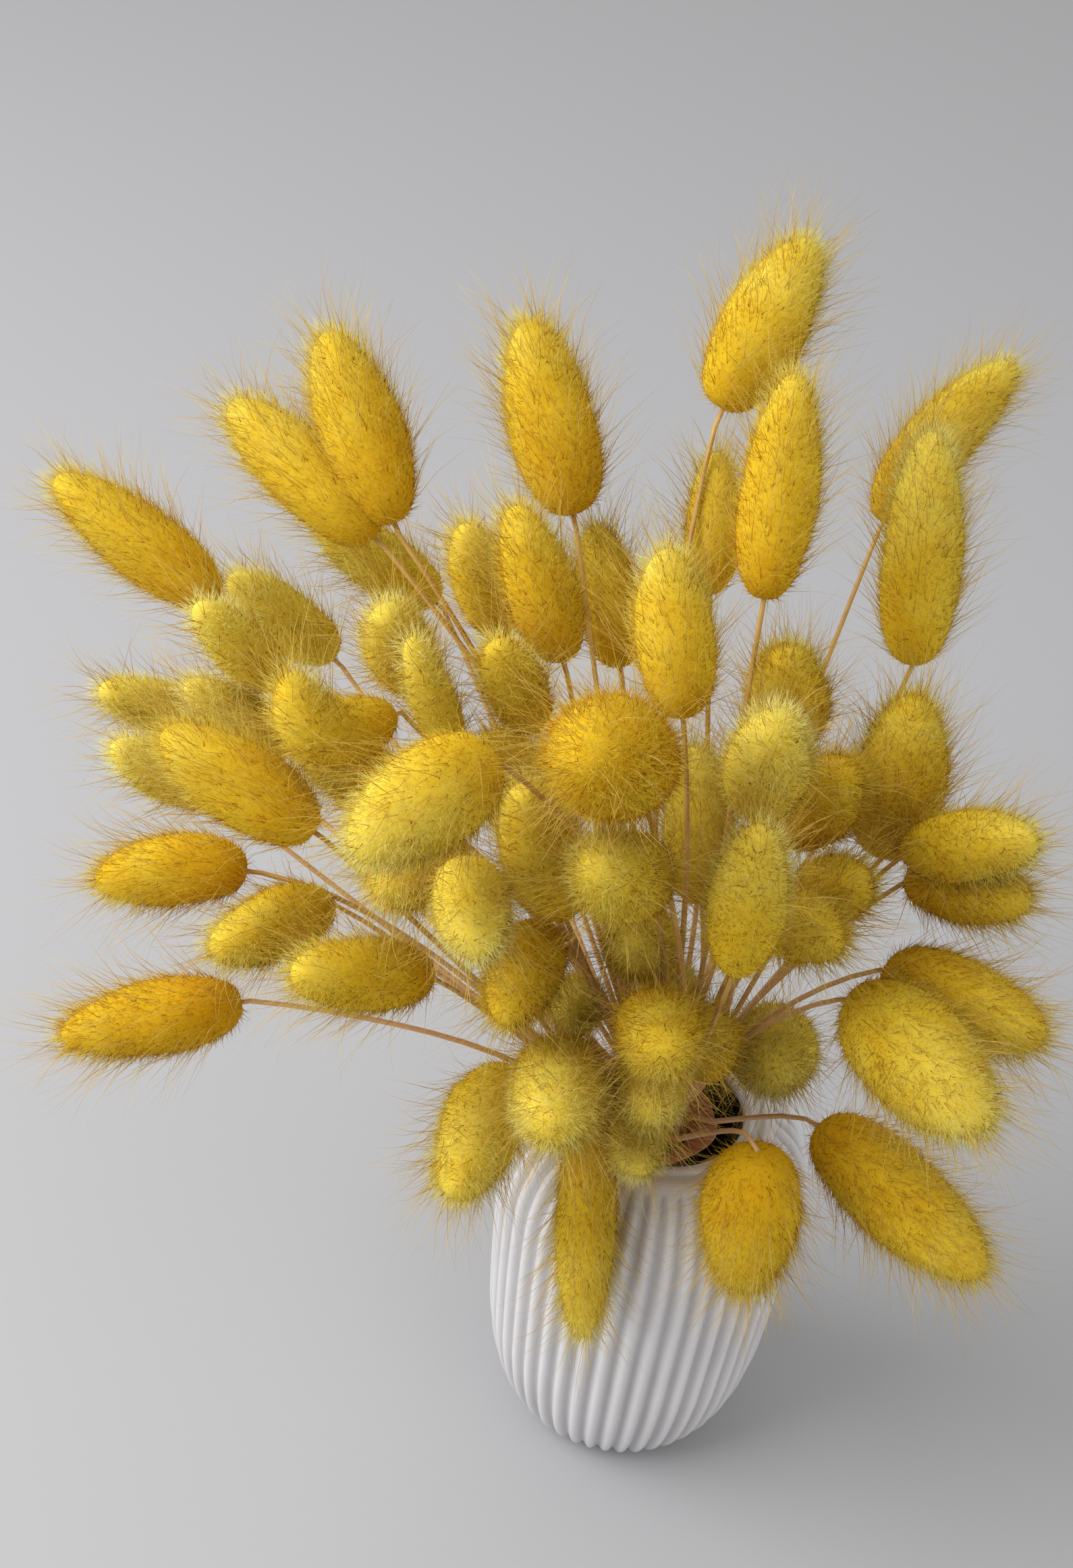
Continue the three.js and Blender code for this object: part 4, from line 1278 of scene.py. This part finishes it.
class VaseSettings(bpy.types.PropertyGroup):
    flute_depth: FloatProperty(
        name="Flute depth", description="How deep each flute is", default=1.45 * MM, min=0, unit="LENGTH")
    flute_narrowness: FloatProperty(
        name="Flute narrowness", description="Above 1, ribs are broader than flutes", default=1.4, min=0.5)
    glaze_colour: FloatVectorProperty(
        name="Glaze", description="The glaze over the ribs", default=linear("#e4e2e3"), size=4,
        subtype="COLOR")
    # The grey in the flutes: partly pooled glaze, partly painted shade
    pooled_glaze_and_shade_colour: FloatVectorProperty(
        name="Pooled glaze and painted shade", description="The glaze and painted shade in the flutes", default=linear("#949296"), size=4,
        subtype="COLOR")
    # How far the flutes are darkened, by pooled glaze and painted shade
    pooling_and_shade: FloatProperty(name="Pooling", description="How much glaze and painted shade darken the flutes", default=0.55)
    drift: FloatProperty(name="Drift", description="How far the glaze's tone drifts", default=0.35)


class StemSettings(bpy.types.PropertyGroup):
    radius: FloatProperty(
        name="Stem radius", description="Half a stem's thickness at its foot", default=0.78 * MM, min=0,
        unit="LENGTH")
    pieces: IntProperty(name="Pieces", description="Points along each stem", default=26, min=4)
    sides: IntProperty(name="Sides", description="Sides round each stem", default=7, min=3)


class SheathSettings(bpy.types.PropertyGroup):
    thickness: FloatProperty(
        name="Leaf thickness", description="How thick the leaf is", default=0.35 * MM, min=0, unit="LENGTH")
    flare: FloatProperty(name="Flare", description="How far the leaf leans out above the neck", default=1.1)


class HeadSettings(bpy.types.PropertyGroup):
    hair_density: FloatProperty(name="Hair density", description="Hairs to a square metre", default=1450000)
    hair_length: FloatProperty(
        name="Hair length", description="Length of a short hair", default=3.0 * MM, unit="LENGTH")
    hair_width: FloatProperty(
        name="Hair width", description="Width of a short hair at its root", default=0.17 * MM, unit="LENGTH")
    hair_lean: FloatProperty(name="Hair lean", description="How far hairs lie towards the tip", default=0.9)
    hair_spread: FloatProperty(name="Hair spread", description="How far hairs stray", default=0.75)
    awn_density: FloatProperty(name="Awn density", description="Awns to a square metre", default=210000)
    awn_length: FloatProperty(
        name="Awn length", description="Length of an awn", default=16 * MM, unit="LENGTH")
    awn_width: FloatProperty(
        name="Awn width", description="Half an awn's width at its root", default=0.075 * MM, unit="LENGTH")
    awn_lean: FloatProperty(name="Awn lean", description="How far awns lie towards the tip", default=1.4)
    awn_spread: FloatProperty(name="Awn spread", description="How far awns stray", default=0.6)


class StageSettings(bpy.types.PropertyGroup):
    floor_colour: FloatVectorProperty(
        name="Floor", description="The pale floor", default=linear("#a9a9ac"), size=4, subtype="COLOR")
    key_power: FloatProperty(
        name="Key light", description="Power of the large soft light", default=23.0, unit="POWER")
    fill_power: FloatProperty(
        name="Fill light", description="Power of the weak light opposite", default=2.0, unit="POWER")
    room_strength: FloatProperty(name="Room", description="Strength of the light all round", default=0.74)


# Operators

class GRASS_OT_make_vase(bpy.types.Operator):
    """Make the fluted vase with its hollow"""

    bl_idname = "grass.make_vase"
    bl_label = "Make the vase"

    def execute(self, context):
        settings = context.scene.grass_vase
        piece = run_tree("fluted_vase", vase_mesh(), flutes_tree(), {
            "Count": FLUTES, "Depth": settings.flute_depth, "Narrowness": settings.flute_narrowness,
            "Material": glazed_stoneware(settings),
        })
        set_down(piece, "glaze", "vase")
        return {"FINISHED"}


class GRASS_OT_make_stems(bpy.types.Operator):
    """Make the bundle of straw stems that fans out to the heads"""

    bl_idname = "grass.make_stems"
    bl_label = "Make the stems"

    def execute(self, context):
        settings = context.scene.grass_stems
        piece = run_tree("straw_stems", stem_lines(), straws_tree(), {
            "Radius": settings.radius, "Pieces": settings.pieces, "Sides": settings.sides,
            "Material": dried_straw(),
        })
        set_down(piece, "straw", "stems")
        return {"FINISHED"}


class GRASS_OT_make_sheath(bpy.types.Operator):
    """Make the dried leaf that wraps the bundle at the vase's mouth"""

    bl_idname = "grass.make_sheath"
    bl_label = "Make the leaf sheath"

    def execute(self, context):
        mesh = sheath_mesh(context.scene.grass_sheath)
        mesh.materials.append(dried_leaf())
        mesh.shade_smooth()
        set_down(link_object("leaf_sheath", mesh), "straw")
        return {"FINISHED"}


class GRASS_OT_make_heads(bpy.types.Operator):
    """Make every seed head with its hair and awns"""

    bl_idname = "grass.make_heads"
    bl_label = "Make the seed heads"

    def execute(self, context):
        settings = context.scene.grass_heads
        tree = hair_tree()
        values = {"Body Material": felt_dye_with_painted_shade(), "Hair Material": hair_dye_with_painted_light(), "Awn Material": golden_awn()}
        for kind in ("Hair", "Awn"):
            for size in HAIR_SIZES:
                values[f"{kind} {size}"] = getattr(settings, f"{kind}_{size}".lower())
        for number, cluster in enumerate(CLUSTERS):
            node = cluster.name()
            body = cluster_mesh(cluster)
            check_place(body, node)
            piece = run_tree("haired_" + node, body, tree, {**values, "Seed": number + 1})
            set_down(piece, "seed_head", node)
        return {"FINISHED"}


class GRASS_OT_make_stage(bpy.types.Operator):
    """Make the floor, the lights and the camera"""

    bl_idname = "grass.make_stage"
    bl_label = "Make the stage"

    def execute(self, context):
        settings = context.scene.grass_stage
        add_floor(settings.floor_colour)
        add_light("key_light", KEY_PLACE, settings.key_power, KEY_SIZE)
        add_light("fill_light", FILL_PLACE, settings.fill_power, FILL_SIZE)
        add_room(context.scene, settings.room_strength)
        add_camera(context.scene)
        return {"FINISHED"}


class GRASS_PT_panel(bpy.types.Panel):
    """Settings and steps for the grass"""

    bl_label = "Bunny tail grass"
    bl_idname = "GRASS_PT_panel"
    bl_space_type = "VIEW_3D"
    bl_region_type = "UI"
    bl_category = "Grass"

    def draw(self, context):
        for group, _, step in STEPS:
            box = self.layout.box()
            settings = getattr(context.scene, group)
            for name in settings.__annotations__:
                box.prop(settings, name)
            box.operator(step.bl_idname)


STEPS = [
    ("grass_stage", StageSettings, GRASS_OT_make_stage),
    ("grass_vase", VaseSettings, GRASS_OT_make_vase),
    ("grass_stems", StemSettings, GRASS_OT_make_stems),
    ("grass_sheath", SheathSettings, GRASS_OT_make_sheath),
    ("grass_heads", HeadSettings, GRASS_OT_make_heads),
]
CLASSES = [kind for _, settings, step in STEPS for kind in (settings, step)] + [GRASS_PT_panel]


def register():
    for kind in CLASSES:
        bpy.utils.register_class(kind)
    for group, settings, _ in STEPS:
        setattr(bpy.types.Scene, group, PointerProperty(type=settings))


def unregister():
    for group, _, _ in STEPS:
        delattr(bpy.types.Scene, group)
    for kind in reversed(CLASSES):
        bpy.utils.unregister_class(kind)


def main():
    register()
    for _, _, step in STEPS:
        group, name = step.bl_idname.split(".")
        getattr(getattr(bpy.ops, group), name)()


if __name__ == "__main__":
    main()
